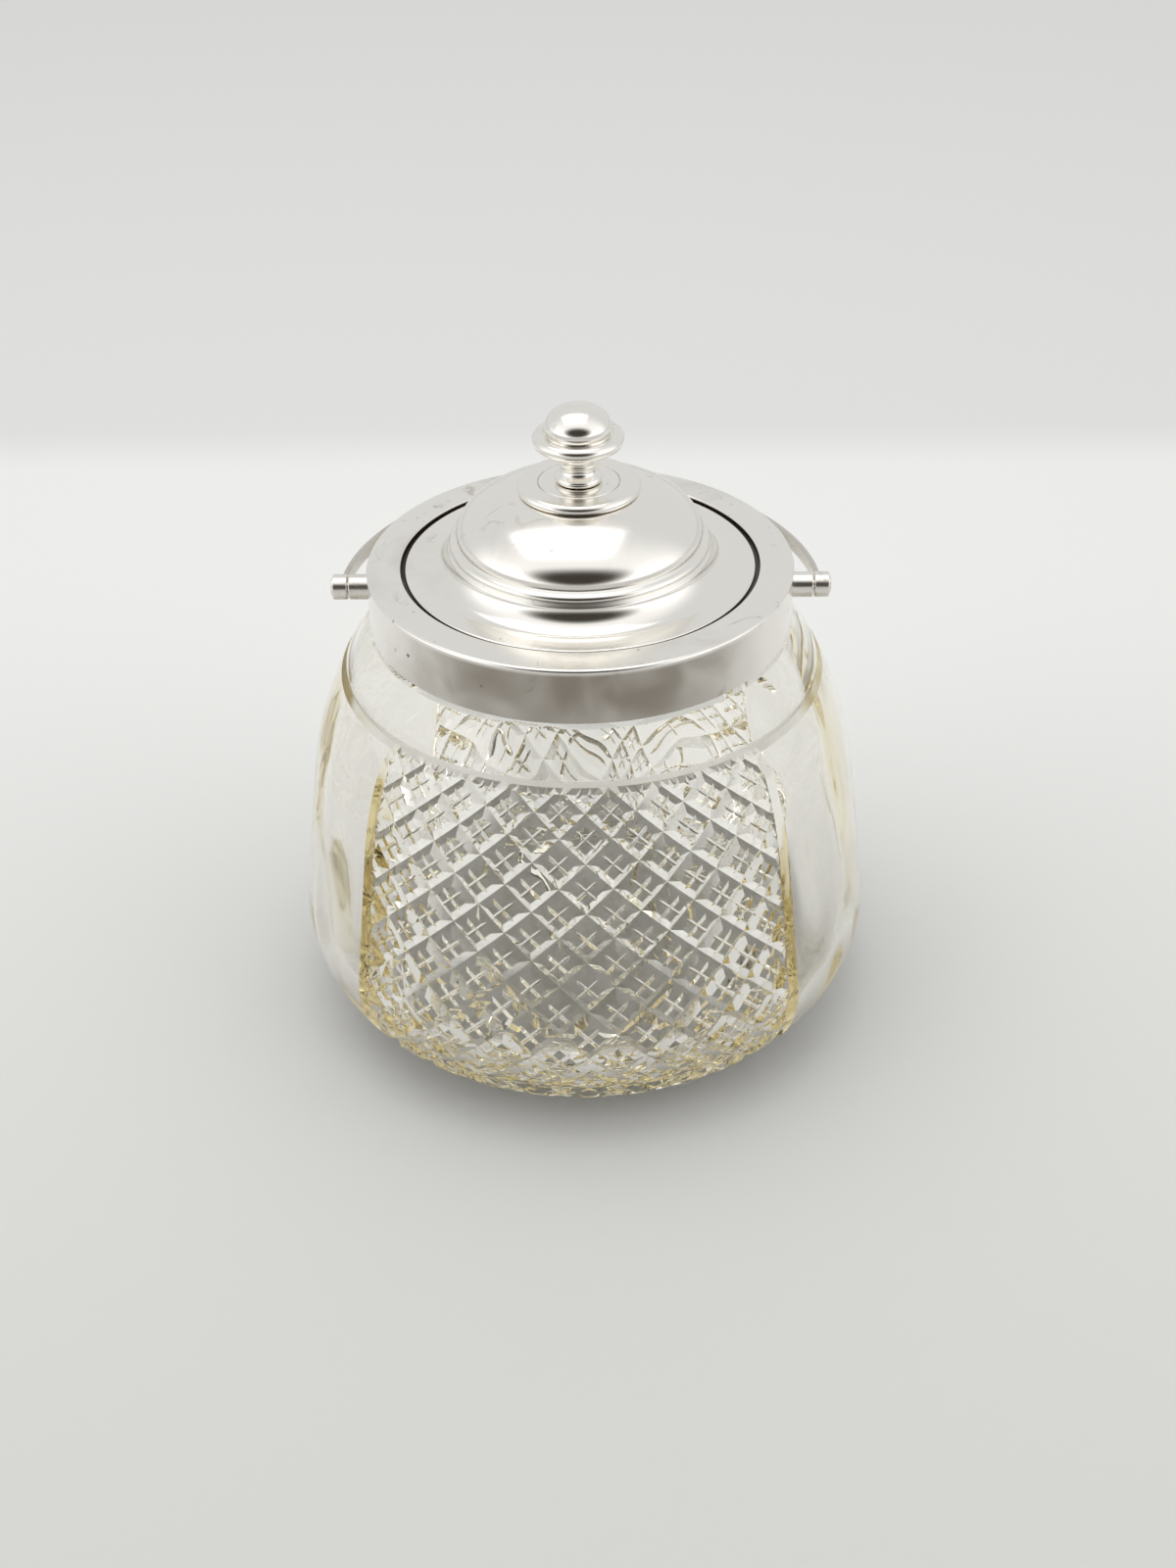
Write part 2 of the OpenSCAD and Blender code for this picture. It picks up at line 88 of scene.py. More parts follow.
class Signal:
    """A node's output, with shader maths written as Python expressions."""

    def __init__(self, recipe: "Recipe", socket: bpy.types.NodeSocket) -> None:
        """Wraps a socket.

        Args:
            recipe: the material or world that the node belongs to.
            socket: the output to wrap.
        """
        self.recipe = recipe
        self.socket = socket

    def _math(self, operation: str, *values: Value) -> "Signal":
        """One Math node."""
        return self.recipe.node("ShaderNodeMath", {"operation": operation},
                                dict(enumerate(values)))

    def __add__(self, other: Value) -> "Signal":
        """Sum."""
        return self._math("ADD", self, other)

    def __radd__(self, other: Value) -> "Signal":
        """Reflected sum."""
        return self._math("ADD", other, self)

    def __sub__(self, other: Value) -> "Signal":
        """Difference."""
        return self._math("SUBTRACT", self, other)

    def __rsub__(self, other: Value) -> "Signal":
        """Reflected difference."""
        return self._math("SUBTRACT", other, self)

    def __mul__(self, other: Value) -> "Signal":
        """Product."""
        return self._math("MULTIPLY", self, other)

    def __rmul__(self, other: Value) -> "Signal":
        """Reflected product."""
        return self._math("MULTIPLY", other, self)

    def between(self, low: float, high: float) -> "Signal":
        """A smooth step from 0 at low to 1 at high.

        Args:
            low: the value that gives 0.
            high: the value that gives 1.

        Returns:
            The stepped value.
        """
        settings = {"interpolation_type": "SMOOTHSTEP", "clamp": True}
        inputs = {"Value": self, "From Min": low, "From Max": high, "To Min": 0.0, "To Max": 1.0}
        return self.recipe.node("ShaderNodeMapRange", settings, inputs)

    def part(self, letter: str) -> "Signal":
        """One component of a vector.

        Args:
            letter: X, Y or Z.

        Returns:
            The component.
        """
        return self.recipe.node("ShaderNodeSeparateXYZ", {}, {"Vector": self}, letter)


@dataclass(frozen=True)
class Pattern:
    """What a noise looks like on a piece.

    Attributes:
        scale: its scale, in turns per metre.
        detail: its octaves.
        rough: how strong the finer octaves are.
        warp: its distortion.
        stretch: how much it is squeezed along each axis.
        turn: how it is turned, in radians.
    """

    scale: float
    detail: float
    rough: float
    warp: float = 0.0
    stretch: tuple[float, float, float] = (1, 1, 1)
    turn: tuple[float, float, float] = (0, 0, 0)


class Recipe:
    """A node tree that is filled from Python. The Mix node's colour sockets go by index."""

    MIX_AMOUNT = 0
    MIX_COLOURS = (6, 7)
    MIX_RESULT = 2

    def __init__(self, tree: bpy.types.NodeTree) -> None:
        """Empties the tree.

        Args:
            tree: the tree of a material or of the world.
        """
        self.tree = tree
        tree.nodes.clear()

    def make(self, kind: str, settings: dict, inputs: dict) -> bpy.types.Node:
        """Adds a node of any type.

        Args:
            kind: the node's type.
            settings: its properties, set before its sockets.
            inputs: the values or links of its sockets, by name or by index.

        Returns:
            The node.
        """
        node = self.tree.nodes.new(kind)
        for name, value in settings.items():
            setattr(node, name, value)
        for name, value in inputs.items():
            if isinstance(value, Signal):
                self.tree.links.new(value.socket, node.inputs[name])
            else:
                node.inputs[name].default_value = value
        return node

    def node(self, kind: str, settings: dict, inputs: dict,
             output: Union[str, int] = 0) -> Signal:
        """Adds a node and wraps one of its outputs.

        Args:
            kind: the node's type.
            settings: its properties.
            inputs: the values or links of its sockets.
            output: the wanted output's name or index.

        Returns:
            The wrapped output.
        """
        return Signal(self, self.make(kind, settings, inputs).outputs[output])

    def blend(self, amount: Value, first: Value, second: Value) -> Signal:
        """A Mix node on two colours.

        Args:
            amount: how much of the second shows.
            first: the colour at 0.
            second: the colour at 1.

        Returns:
            The mixed colour.
        """
        settings = {"data_type": "RGBA", "blend_type": "MIX", "clamp_factor": True}
        inputs = {self.MIX_AMOUNT: amount}
        for slot, colour in zip(self.MIX_COLOURS, (first, second)):
            inputs[slot] = colour if isinstance(colour, Signal) else (*colour, 1.0)
        return self.node("ShaderNodeMix", settings, inputs, self.MIX_RESULT)

    def place(self, stretch: Sequence[float] = (1, 1, 1),
              turn: Sequence[float] = (0, 0, 0)) -> Signal:
        """Object coordinates through a Mapping node.

        Args:
            stretch: how much a pattern is squeezed along each axis.
            turn: how it is turned, in radians.

        Returns:
            The coordinates.
        """
        spot = self.node("ShaderNodeTexCoord", {}, {}, "Object")
        inputs = {"Vector": spot, "Scale": stretch, "Rotation": turn}
        return self.node("ShaderNodeMapping", {}, inputs)

    def noise(self, pattern: Pattern) -> Signal:
        """A noise value, about 0.5 on average."""
        inputs = {"Vector": self.place(pattern.stretch, pattern.turn), "Scale": pattern.scale,
                  "Detail": pattern.detail, "Roughness": pattern.rough,
                  "Distortion": pattern.warp}
        return self.node("ShaderNodeTexNoise", {}, inputs)

    def bump(self, height: Signal, depth: float, strength: float = 1.0) -> Signal:
        """A bumped normal.

        Args:
            height: the height from 0 to 1.
            depth: what a height of 1 means, in metres.
            strength: how much of the bump is used.

        Returns:
            The normal.
        """
        inputs = {"Height": height, "Distance": depth, "Strength": strength}
        return self.node("ShaderNodeBump", {}, inputs)

    def surface(self, inputs: dict, volume: Optional[bpy.types.Node] = None) -> None:
        """The closing Principled shader and output.

        Args:
            inputs: the shader's sockets.
            volume: a volume shader node, where there is one.
        """
        shader = self.make("ShaderNodeBsdfPrincipled", {}, inputs)
        out = self.make("ShaderNodeOutputMaterial", {}, {})
        self.tree.links.new(shader.outputs[0], out.inputs["Surface"])
        if volume:
            self.tree.links.new(volume.outputs[0], out.inputs["Volume"])


# ---------------------------------------------------------------- finishes


class Finish:
    """A material that is made once and then shared."""

    made: dict[str, bpy.types.Material] = {}

    def title(self) -> str:
        """The material's name."""
        return type(self).__name__.lower()

    def fill(self, recipe: Recipe) -> None:
        """Writes the nodes."""
        raise NotImplementedError

    def material(self) -> bpy.types.Material:
        """The material, made at first use.

        Returns:
            The material.
        """
        name = self.title()
        if name not in Finish.made:
            made = bpy.data.materials.new(name)
            made.use_nodes = True
            self.fill(Recipe(made.node_tree))
            Finish.made[name] = made
        return Finish.made[name]


@dataclass(frozen=True)
class SilverPlate(Finish):
    """Polished silver plate, with cloudy tarnish, stains, dark pits and fine scratches; where
    asked, painted shade too.

    A range says where on its pattern the effect starts and where it is full.

    Attributes:
        name: the material's name.
        gloss: its roughness where it is cleanest.
        tarnish: how far the cloudy tarnish has spread, from 0 to 1.
        pits: how many dark pits it has, from 0 to 1.
        front_shade: how strong the painted shade low on the mount's front wall is, a dark brownish
            reflection, from 0 to 1.
        bright: the clean colour.
        dull: the tarnish's colour.
        stain: the stains' colour.
        pit: the pits' colour.
        front_shade_colour: the painted shade's colour.
        dull_share: how much of the tarnish shows on clean plate.
        clouds: the tarnish's pattern.
        cloud_range: its range on clean plate.
        cloud_drop: how far full tarnish lowers that range's two ends.
        stains: the stains' pattern.
        stain_range: its range on clean plate.
        stain_drop: how far full tarnish lowers its start.
        specks: the pits' pattern.
        pit_range: its range on plate without pits.
        pit_drop: how far full pits lower its start.
        wall_top: the height at which the painted shade ends, in metres.
        wall_fade: over which height it ends.
        wall_front: the depths between which it fades towards the sides.
        film: its pattern.
        shade_film_range: that pattern's range.
        shade_film_least: how much shade there is where the pattern has least.
        roughened: what tarnish, stains, grain and pits add to the roughness.
        grain: the fine grain.
        rubbed: the scratches of one direction.
        wiped: the scratches across them.
        scratch: how deep the fine scratches are, in metres.
        scratched: how strongly they show.
        pit_depth: how deep the pits are, in scratches.
    """

    name: str = "silver_plate"
    gloss: float = 0.13
    tarnish: float = 0.3
    pits: float = 0.15
    front_shade: float = 0.0
    bright: Colour = (0.89, 0.867, 0.822)
    dull: Colour = (0.74, 0.70, 0.66)
    stain: Colour = (0.50, 0.44, 0.40)
    pit: Colour = (0.10, 0.075, 0.06)
    front_shade_colour: Colour = (0.25, 0.215, 0.175)
    dull_share: float = 0.35
    clouds: Pattern = Pattern(34.0, 5.0, 0.62, 0.6)
    cloud_range: tuple[float, float] = (0.62, 0.86)
    cloud_drop: tuple[float, float] = (0.22, 0.16)
    stains: Pattern = Pattern(95.0, 4.0, 0.6, 1.2)
    stain_range: tuple[float, float] = (0.66, 0.74)
    stain_drop: float = 0.06
    specks: Pattern = Pattern(310.0, 1.0, 0.4)
    pit_range: tuple[float, float] = (0.80, 0.83)
    pit_drop: float = 0.05
    wall_top: float = 0.1274
    wall_fade: float = 0.0012
    wall_front: tuple[float, float] = (-0.052, -0.028)
    film: Pattern = Pattern(34.0, 2.0, 0.45, 1.4)
    shade_film_range: tuple[float, float] = (0.22, 0.66)
    shade_film_least: float = 0.55
    roughened: tuple[float, float, float, float] = (0.10, 0.12, 0.03, 0.3)
    grain: Pattern = Pattern(2600.0, 2.0, 0.6)
    rubbed: Pattern = Pattern(900.0, 2.0, 0.7, stretch=(1, 1, 22), turn=(0.3, 0.9, 0.2))
    wiped: Pattern = Pattern(620.0, 2.0, 0.7, stretch=(1, 26, 1), turn=(0.2, 0.1, 0.8))
    scratch: float = 0.000002
    scratched: float = 0.6
    pit_depth: float = 0.5

    def title(self) -> str:
        """The material's name."""
        return self.name

    def _painted_front_shade(self, recipe: Recipe) -> Signal:
        """How much painted shade there is, a dark brownish reflection low on the mount's front
        wall.

        Args:
            recipe: the material's tree.

        Returns:
            The amount, from 0 to the full shade.
        """
        spot = recipe.place()
        front = 1.0 - spot.part("Y").between(*self.wall_front)
        wall = 1.0 - spot.part("Z").between(self.wall_top - self.wall_fade, self.wall_top)
        film = recipe.noise(self.film).between(*self.shade_film_range)
        return front * wall * (self.shade_film_least + film * (1.0 - self.shade_film_least)) * self.front_shade

    def fill(self, recipe: Recipe) -> None:
        """Writes the nodes.

        Args:
            recipe: the material's tree.
        """
        low, high = (edge - drop * self.tarnish
                     for edge, drop in zip(self.cloud_range, self.cloud_drop))
        dull = recipe.noise(self.clouds).between(low, high)
        low, high = self.stain_range
        stain = recipe.noise(self.stains).between(low - self.stain_drop * self.tarnish, high)
        stain = stain * self.tarnish
        low, high = self.pit_range
        pit = recipe.noise(self.specks).between(low - self.pit_drop * self.pits, high)
        colour = recipe.blend(dull * (self.dull_share + self.tarnish), self.bright, self.dull)
        colour = recipe.blend(stain, colour, self.stain)
        # Painted shade: a cloudy, dark brownish reflection low on the front of the mount's wall.
        if self.front_shade:
            colour = recipe.blend(self._painted_front_shade(recipe), colour, self.front_shade_colour)
        colour = recipe.blend(pit * self.pits, colour, self.pit)
        rough = self.gloss
        for wear, more in zip((dull, stain, recipe.noise(self.grain), pit), self.roughened):
            rough = rough + wear * more
        scratches = recipe.noise(self.rubbed) + recipe.noise(self.wiped)
        normal = recipe.bump(scratches - pit * self.pit_depth, self.scratch, self.scratched)
        recipe.surface({"Base Color": colour, "Metallic": 1.0, "Roughness": rough,
                        "Normal": normal})


@dataclass(frozen=True)
class CutGlass(Finish):
    """Heavy clear glass with a faint olive tint that gathers where it is thick.

    Attributes:
        index: its index of refraction.
        tint: the colour that thick glass takes.
        density: how quickly it takes it, per metre.
        waves: the waves that blowing left in it.
        wave_depth: how high they are on the inside, in metres.
        wave_out: how much of them the outside has.
        ring: the heights between which the cut ring is ground, in metres.
        ring_fade: over which height the ground finish ends.
        ground: how rough it is there.
        specks: the pattern of dull specks.
        speck_range: where on it the specks start and where they are full.
        speck_rough: how rough they are.
    """

    index: float = 1.52
    tint: Colour = (0.86, 0.775, 0.45)
    density: float = 12.5
    waves: Pattern = Pattern(28.0, 1.5, 0.35, stretch=(1, 1, 0.6))
    wave_depth: float = 0.006
    wave_out: float = 0.02
    ring: tuple[float, float] = (0.0991, 0.1017)
    ring_fade: float = 0.0002
    ground: float = 0.3
    specks: Pattern = Pattern(800.0, 2.0, 0.5)
    speck_range: tuple[float, float] = (0.70, 0.78)
    speck_rough: float = 0.06

    def fill(self, recipe: Recipe) -> None:
        """Writes the nodes.

        Args:
            recipe: the material's tree.
        """
        lining = recipe.node("ShaderNodeAttribute", {"attribute_name": "lining"}, {}, "Fac")
        height = recipe.place().part("Z")
        low, high = self.ring
        band = height.between(low - self.ring_fade, low)
        band = band * (1.0 - height.between(high, high + self.ring_fade)) * (1.0 - lining)
        speck = recipe.noise(self.specks).between(*self.speck_range)
        wave = recipe.noise(self.waves) * (self.wave_out + lining)
        volume = recipe.make("ShaderNodeVolumeAbsorption", {},
                             {"Color": (*self.tint, 1.0), "Density": self.density})
        recipe.surface({"Base Color": (1.0, 1.0, 1.0, 1.0),
                        "Roughness": speck * self.speck_rough + band * self.ground,
                        "IOR": self.index, "Transmission Weight": 1.0,
                        "Normal": recipe.bump(wave, self.wave_depth)}, volume)


@dataclass(frozen=True)
class TurnedBrass(Finish):
    """Plain turned brass, gone dull.

    Attributes:
        bright: the clean colour.
        dull: the dull colour.
        clouds: where it has gone dull.
        cloud_range: where on that pattern this starts and where it is full.
        gloss: its roughness where it is clean.
        gloss_lost: what dullness adds to that.
        rings: the fine rings that turning left.
        ring_depth: how deep they are, in metres.
        ring_share: how strongly they show.
    """

    bright: Colour = (0.72, 0.56, 0.30)
    dull: Colour = (0.42, 0.31, 0.17)
    clouds: Pattern = Pattern(210.0, 4.0, 0.6)
    cloud_range: tuple[float, float] = (0.4, 0.7)
    gloss: float = 0.28
    gloss_lost: float = 0.2
    rings: Pattern = Pattern(500.0, 2.0, 0.6, stretch=(1, 1, 14))
    ring_depth: float = 0.00002
    ring_share: float = 0.7

    def fill(self, recipe: Recipe) -> None:
        """Writes the nodes.

        Args:
            recipe: the material's tree.
        """
        cloud = recipe.noise(self.clouds).between(*self.cloud_range)
        rings = recipe.bump(recipe.noise(self.rings), self.ring_depth, self.ring_share)
        recipe.surface({"Base Color": recipe.blend(cloud, self.bright, self.dull),
                        "Metallic": 1.0, "Roughness": self.gloss + cloud * self.gloss_lost,
                        "Normal": rings})


@dataclass(frozen=True)
class BeddingPlaster(Finish):
    """Matt plaster with fine pores.

    Attributes:
        pale: the clean colour.
        worn: the soiled colour.
        clouds: where it is soiled.
        cloud_range: where on that pattern this starts and where it is full.
        matt: its roughness.
        matt_more: what its pores add to that.
        pores: its pores.
        pore_depth: how deep they are, in metres.
        pore_share: how strongly they show.
    """

    pale: Colour = (0.78, 0.76, 0.70)
    worn: Colour = (0.60, 0.56, 0.48)
    clouds: Pattern = Pattern(160.0, 5.0, 0.6)
    cloud_range: tuple[float, float] = (0.35, 0.7)
    matt: float = 0.86
    matt_more: float = 0.1
    pores: Pattern = Pattern(1500.0, 3.0, 0.6)
    pore_depth: float = 0.00008
    pore_share: float = 0.8

    def fill(self, recipe: Recipe) -> None:
        """Writes the nodes.

        Args:
            recipe: the material's tree.
        """
        cloud = recipe.noise(self.clouds).between(*self.cloud_range)
        pores = recipe.noise(self.pores)
        recipe.surface({"Base Color": recipe.blend(cloud, self.pale, self.worn),
                        "Roughness": self.matt + pores * self.matt_more,
                        "Normal": recipe.bump(pores, self.pore_depth, self.pore_share)})


# ---------------------------------------------------------------- mesh helpers


def arc(centre: Point, radius: float, start: float, end: float, steps: int) -> list[Point]:
    """Points of an arc in the outline's plane.

    Args:
        centre: its centre.
        radius: its radius.
        start: where it starts, in degrees from level.
        end: where it ends.
        steps: how many stretches it has.

    Returns:
        The points, both ends included.
    """
    points = []
    for i in range(steps + 1):
        turn = math.radians(start + (end - start) * i / steps)
        points.append((centre[0] + radius * math.cos(turn), centre[1] + radius * math.sin(turn)))
    return points


def bowed(centre: float, wide: float, high: float, end: float, steps: int) -> list[Point]:
    """An upright ellipse's quarter from its widest point up to the radius end.

    Args:
        centre: the height of its widest point.
        wide: its half width.
        high: its half height.
        end: the radius at which it stops.
        steps: how many stretches it has.

    Returns:
        The points, from the widest one.
    """
    last = math.acos(end / wide)
    return [(wide * math.cos(last * i / steps), centre + high * math.sin(last * i / steps))
            for i in range(steps + 1)]


def beside(line: Sequence[Point], gap: float) -> list[Point]:
    """A line moved to its left.

    Args:
        line: its points.
        gap: how far it moves; a negative gap moves it to the right.

    Returns:
        The moved points.
    """
    moved = []
    for i, spot in enumerate(line):
        before = Vector(line[max(i - 1, 0)])
        here = Vector(spot)
        after = Vector(line[min(i + 1, len(line) - 1)])
        first = (here - before) if i else (after - here)
        second = (after - here) if i < len(line) - 1 else first
        left = [Vector((-d.y, d.x)).normalized() for d in (first, second)]
        both = left[0] + left[1]
        moved.append(tuple(here + both * (2 * gap / both.dot(both))))
    return moved


def braced(line: Sequence[Point], closed: bool, gap: float = 0.12) -> list[Point]:
    """Adds points near both ends of each long stretch, so that shading stays tight at its ends.

    Args:
        line: the outline.
        closed: whether the last point joins the first.
        gap: how far from the ends the points lie; stretches of five gaps or less stay bare.

    Returns:
        The outline with the added points.
    """
    result: list[Point] = []
    count = len(line)
    for i in range(count):
        result.append(line[i])
        if i == count - 1 and not closed:
            break
        here, there = Vector(line[i]), Vector(line[(i + 1) % count])
        length = (there - here).length
        if length > 5 * gap:
            along = (there - here) / length
            result.append(tuple(here + along * gap))
            result.append(tuple(there - along * gap))
    return result


def finished(bm: bmesh.types.BMesh, name: str, sharp: float) -> bpy.types.Object:
    """Turns a bmesh into a shaded object at the origin.

    Args:
        bm: the mesh, in metres, which is freed.
        name: the object's name.
        sharp: edges that turn by more than this many degrees stay crisp.

    Returns:
        The object.
    """
    bmesh.ops.recalc_face_normals(bm, faces=bm.faces)
    limit = math.radians(sharp)
    for face in bm.faces:
        face.smooth = True
    for edge in bm.edges:
        edge.smooth = edge.calc_face_angle(0.0) < limit
    mesh = bpy.data.meshes.new(name)
    bm.to_mesh(mesh)
    bm.free()
    piece = bpy.data.objects.new(name, mesh)
    bpy.context.scene.collection.objects.link(piece)
    log.info("%s: %d faces", name, len(mesh.polygons))
    return piece


def chain(bm: bmesh.types.BMesh, line: Sequence[Point], closed: bool,
          azimuth: float = 0.0) -> list:
    """Draws an outline as joined edges in an upright plane.

    Args:
        bm: the mesh.
        line: the outline's radii and heights, in millimetres.
        closed: whether its ends are joined.
        azimuth: the plane's direction, in radians.

    Returns:
        The vertices and edges.
    """
    east, north = math.cos(azimuth), math.sin(azimuth)
    verts = [bm.verts.new((r * east * MM, r * north * MM, z * MM)) for r, z in line]
    last = len(verts) if closed else len(verts) - 1
    edges = [bm.edges.new((verts[i], verts[(i + 1) % len(verts)])) for i in range(last)]
    return verts + edges


def spin_round(bm: bmesh.types.BMesh, geometry: list, steps: int) -> None:
    """Spins edges once round the upright axis."""
    bmesh.ops.spin(bm, geom=geometry, cent=(0, 0, 0), axis=(0, 0, 1), angle=TAU, steps=steps,
                   use_merge=True)


def spun(name: str, line: Sequence[Point], steps: int, sharp: float = CRISP) -> bpy.types.Object:
    """A turned piece from its half outline.

    Args:
        name: the object's name.
        line: the outline; where its ends lie on the axis it is left open.
        steps: how many stretches go round.
        sharp: the angle that stays crisp, in degrees.

    Returns:
        The object.
    """
    closed = max(abs(line[0][0]), abs(line[-1][0])) > SLACK
    bm = bmesh.new()
    spin_round(bm, chain(bm, braced(line, closed), closed), steps)
    bmesh.ops.remove_doubles(bm, verts=bm.verts, dist=WELD)
    return finished(bm, name, sharp)


def painted(piece: bpy.types.Object, finish: Finish) -> None:
    """Gives an object its finish, and no other."""
    piece.data.materials.clear()
    piece.data.materials.append(finish.material())


def dressed(piece: bpy.types.Object, body: Body, finish: Finish, node: str) -> None:
    """Gives a piece its finish and its body, and hides the solid that it replaces.

    Args:
        piece: the object.
        body: the body that it rides on.
        finish: its finish.
        node: the solid that it replaces.
    """
    painted(piece, finish)
    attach(piece, body.value)
    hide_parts(node)


# ---------------------------------------------------------------- the glass


@dataclass
class GlassOutline:
    """The glass's outline: rounded shoulder, straight flank, round heel, and the inside.

    Attributes:
        mount_z: the height of the mount's lower edge, where the outside starts.
        start_r: the radius there.
        start_a: the shoulder's slope there, in degrees.
        shoulder: the shoulder's radius.
        flank_a: the flank's slope, in degrees.
        heel: the heel's radius.
        heel_a: how far below level the heel goes, in degrees.
        wall: the wall's thickness.
        floor: the height of the floor inside.
        neck_in: the neck's inner radius.
        neck_out: its outer radius.
        rim_z: the height of the rim.
        rim_soft: how far the rim's edges are rounded.
        fillet: how far the fillet under the neck reaches out, down and up.
        corner_a: how early the inside leaves the heel for the floor, in degrees.
        corner_r: how wide its corner is.
        corner_pull: how far in the point lies that its curve is drawn towards.
        foot_r: the radius on which the jar stands.
        hollow: the radii of the points along the base's hollow.
        hollow_z: the hollow's depth.
        samples: how many stretches the table of unrolled heights has.
    """

    mount_z: float = MOUNT_FOOT
    start_r: float = 53.1
    start_a: float = 39.0
    shoulder: float = 88.0
    flank_a: float = 8.0
    heel: float = 29.3
    heel_a: float = 76.5
    wall: float = 5.0
    floor: float = 9.0
    neck_in: float = 46.2
    neck_out: float = 50.5
    rim_z: float = 125.3
    rim_soft: float = 0.6
    fillet: tuple[float, float, float] = (0.3, 0.25, 0.2)
    corner_a: float = 9.0
    corner_r: float = 9.0
    corner_pull: float = 3.6
    foot_r: float = 47.0
    hollow: tuple[float, ...] = (45.5, 30.0, 15.0, 0.0)
    hollow_z: float = 1.4
    samples: int = 700

    def __post_init__(self) -> None:
        """Works out the centres, the lengths and the table of unrolled heights."""
        slope = math.radians(self.start_a)
        flank = math.radians(self.flank_a)
        self.shoulder_c = (self.start_r - self.shoulder * math.cos(slope),
                           self.mount_z - self.shoulder * math.sin(slope))
        top = (self.shoulder_c[0] + self.shoulder * math.cos(flank),
               self.shoulder_c[1] + self.shoulder * math.sin(flank))
        heel_z = self.heel * math.sin(math.radians(self.heel_a))
        self.flank_l = (top[1] - heel_z - self.heel * math.sin(flank)) / math.cos(flank)
        foot = (top[0] + self.flank_l * math.sin(flank), top[1] - self.flank_l * math.cos(flank))
        self.heel_c = (foot[0] - self.heel * math.cos(flank),
                       foot[1] - self.heel * math.sin(flank))
        self.flank_top = top
        self.shoulder_l = self.shoulder * math.radians(self.start_a - self.flank_a)
        self.heel_l = self.heel * math.radians(self.flank_a + self.heel_a)
        self.length = self.shoulder_l + self.flank_l + self.heel_l
        step = self.length / self.samples
        total = 0.0
        self.table = [total]
        for i in range(self.samples):
            total += step / self.spot((i + 0.5) * step)[0]
            self.table.append(total)

    def spot(self, along: float) -> tuple[float, float, float, float]:
        """A place on the outline.

        Args:
            along: the length from the mount's edge, in millimetres.

        Returns:
            Its radius and height, and the outward direction there.
        """
        if along <= self.shoulder_l:
            turn = math.radians(self.start_a) - along / self.shoulder
            out = (math.cos(turn), math.sin(turn))
            return (self.shoulder_c[0] + self.shoulder * out[0],
                    self.shoulder_c[1] + self.shoulder * out[1], *out)
        along -= self.shoulder_l
        flank = math.radians(self.flank_a)
        if along <= self.flank_l:
            return (self.flank_top[0] + along * math.sin(flank),
                    self.flank_top[1] - along * math.cos(flank), math.cos(flank), math.sin(flank))
        turn = flank - (along - self.flank_l) / self.heel
        out = (math.cos(turn), math.sin(turn))
        return (self.heel_c[0] + self.heel * out[0], self.heel_c[1] + self.heel * out[1], *out)

    def unrolled(self, along: float) -> float:
        """How far down a place lies on the unrolled glass, where small shapes keep their angles.

        Args:
            along: the length from the mount's edge.

        Returns:
            The unrolled length, in radians.
        """
        place = along / self.length * self.samples
        i = min(int(place), self.samples - 1)
        return self.table[i] + (place - i) * (self.table[i + 1] - self.table[i])

    def along(self, unrolled: float) -> float:
        """The length from the mount's edge at an unrolled length.

        Args:
            unrolled: the unrolled length, in radians.

        Returns:
            The length, in millimetres.
        """
        i = min(max(bisect_left(self.table, unrolled), 1), self.samples)
        low, high = self.table[i - 1], self.table[i]
        return (i - 1 + (unrolled - low) / (high - low)) * self.length / self.samples

    def along_shoulder(self, slope: float) -> float:
        """The length from the mount's edge at a slope of the shoulder, in degrees."""
        return self.shoulder * math.radians(self.start_a - slope)

    def along_heel(self, down: float) -> float:
        """The length from the mount's edge at an angle of the heel below level, in degrees."""
        return self.shoulder_l + self.flank_l + self.heel * math.radians(self.flank_a + down)

    def along_height(self, height: float) -> float:
        """The length from the mount's edge at a height on the shoulder, in millimetres."""
        lift = math.asin((height - self.shoulder_c[1]) / self.shoulder)
        return self.along_shoulder(math.degrees(lift))

    def inside(self) -> list[Point]:
        """The outline from under the mount over the rim, and down the inside to the floor.

        Returns:
            The outline's points, up to the one on the axis.
        """
        inner_shoulder, inner_heel = self.shoulder - self.wall, self.heel - self.wall
        neck_a = math.degrees(math.acos((self.neck_in - self.shoulder_c[0]) / inner_shoulder))
        floor_a = math.degrees(math.asin((self.floor - self.heel_c[1]) / inner_heel))
        out, down, up = self.fillet
        under_rim, soft = self.rim_z - self.rim_soft, self.rim_soft
        neck = [(self.start_r, self.mount_z), (self.neck_out + out, self.mount_z - down),
                (self.neck_out, self.mount_z + up), (self.neck_out, under_rim),
                (self.neck_out - soft, self.rim_z), (self.neck_in + soft, self.rim_z),
                (self.neck_in, under_rim)]
        wall = (arc(self.shoulder_c, inner_shoulder, neck_a, self.flank_a, steps=30)
                + arc(self.heel_c, inner_heel, self.flank_a, floor_a + self.corner_a, steps=22))
        corner = wall[-1]
        pull = (corner[0] - self.corner_pull, self.floor)
        last = (corner[0] - self.corner_r, self.floor)
        count = 5
        ease = [tuple(a * (1 - t) ** 2 + 2 * t * (1 - t) * b + c * t * t
                      for a, b, c in zip(corner, pull, last))
                for t in (k / count for k in range(1, count + 1))]
        flat = [(last[0] * k / count, self.floor) for k in reversed(range(count))]
        return neck + wall + ease + flat

    def underside(self) -> list[Point]:
        """The outline from the heel's end over the foot into the hollow of the base."""
        heel = self.spot(self.length)[:2]
        return [heel, (self.foot_r, 0.0)] + [(r, self.hollow_z) for r in self.hollow]


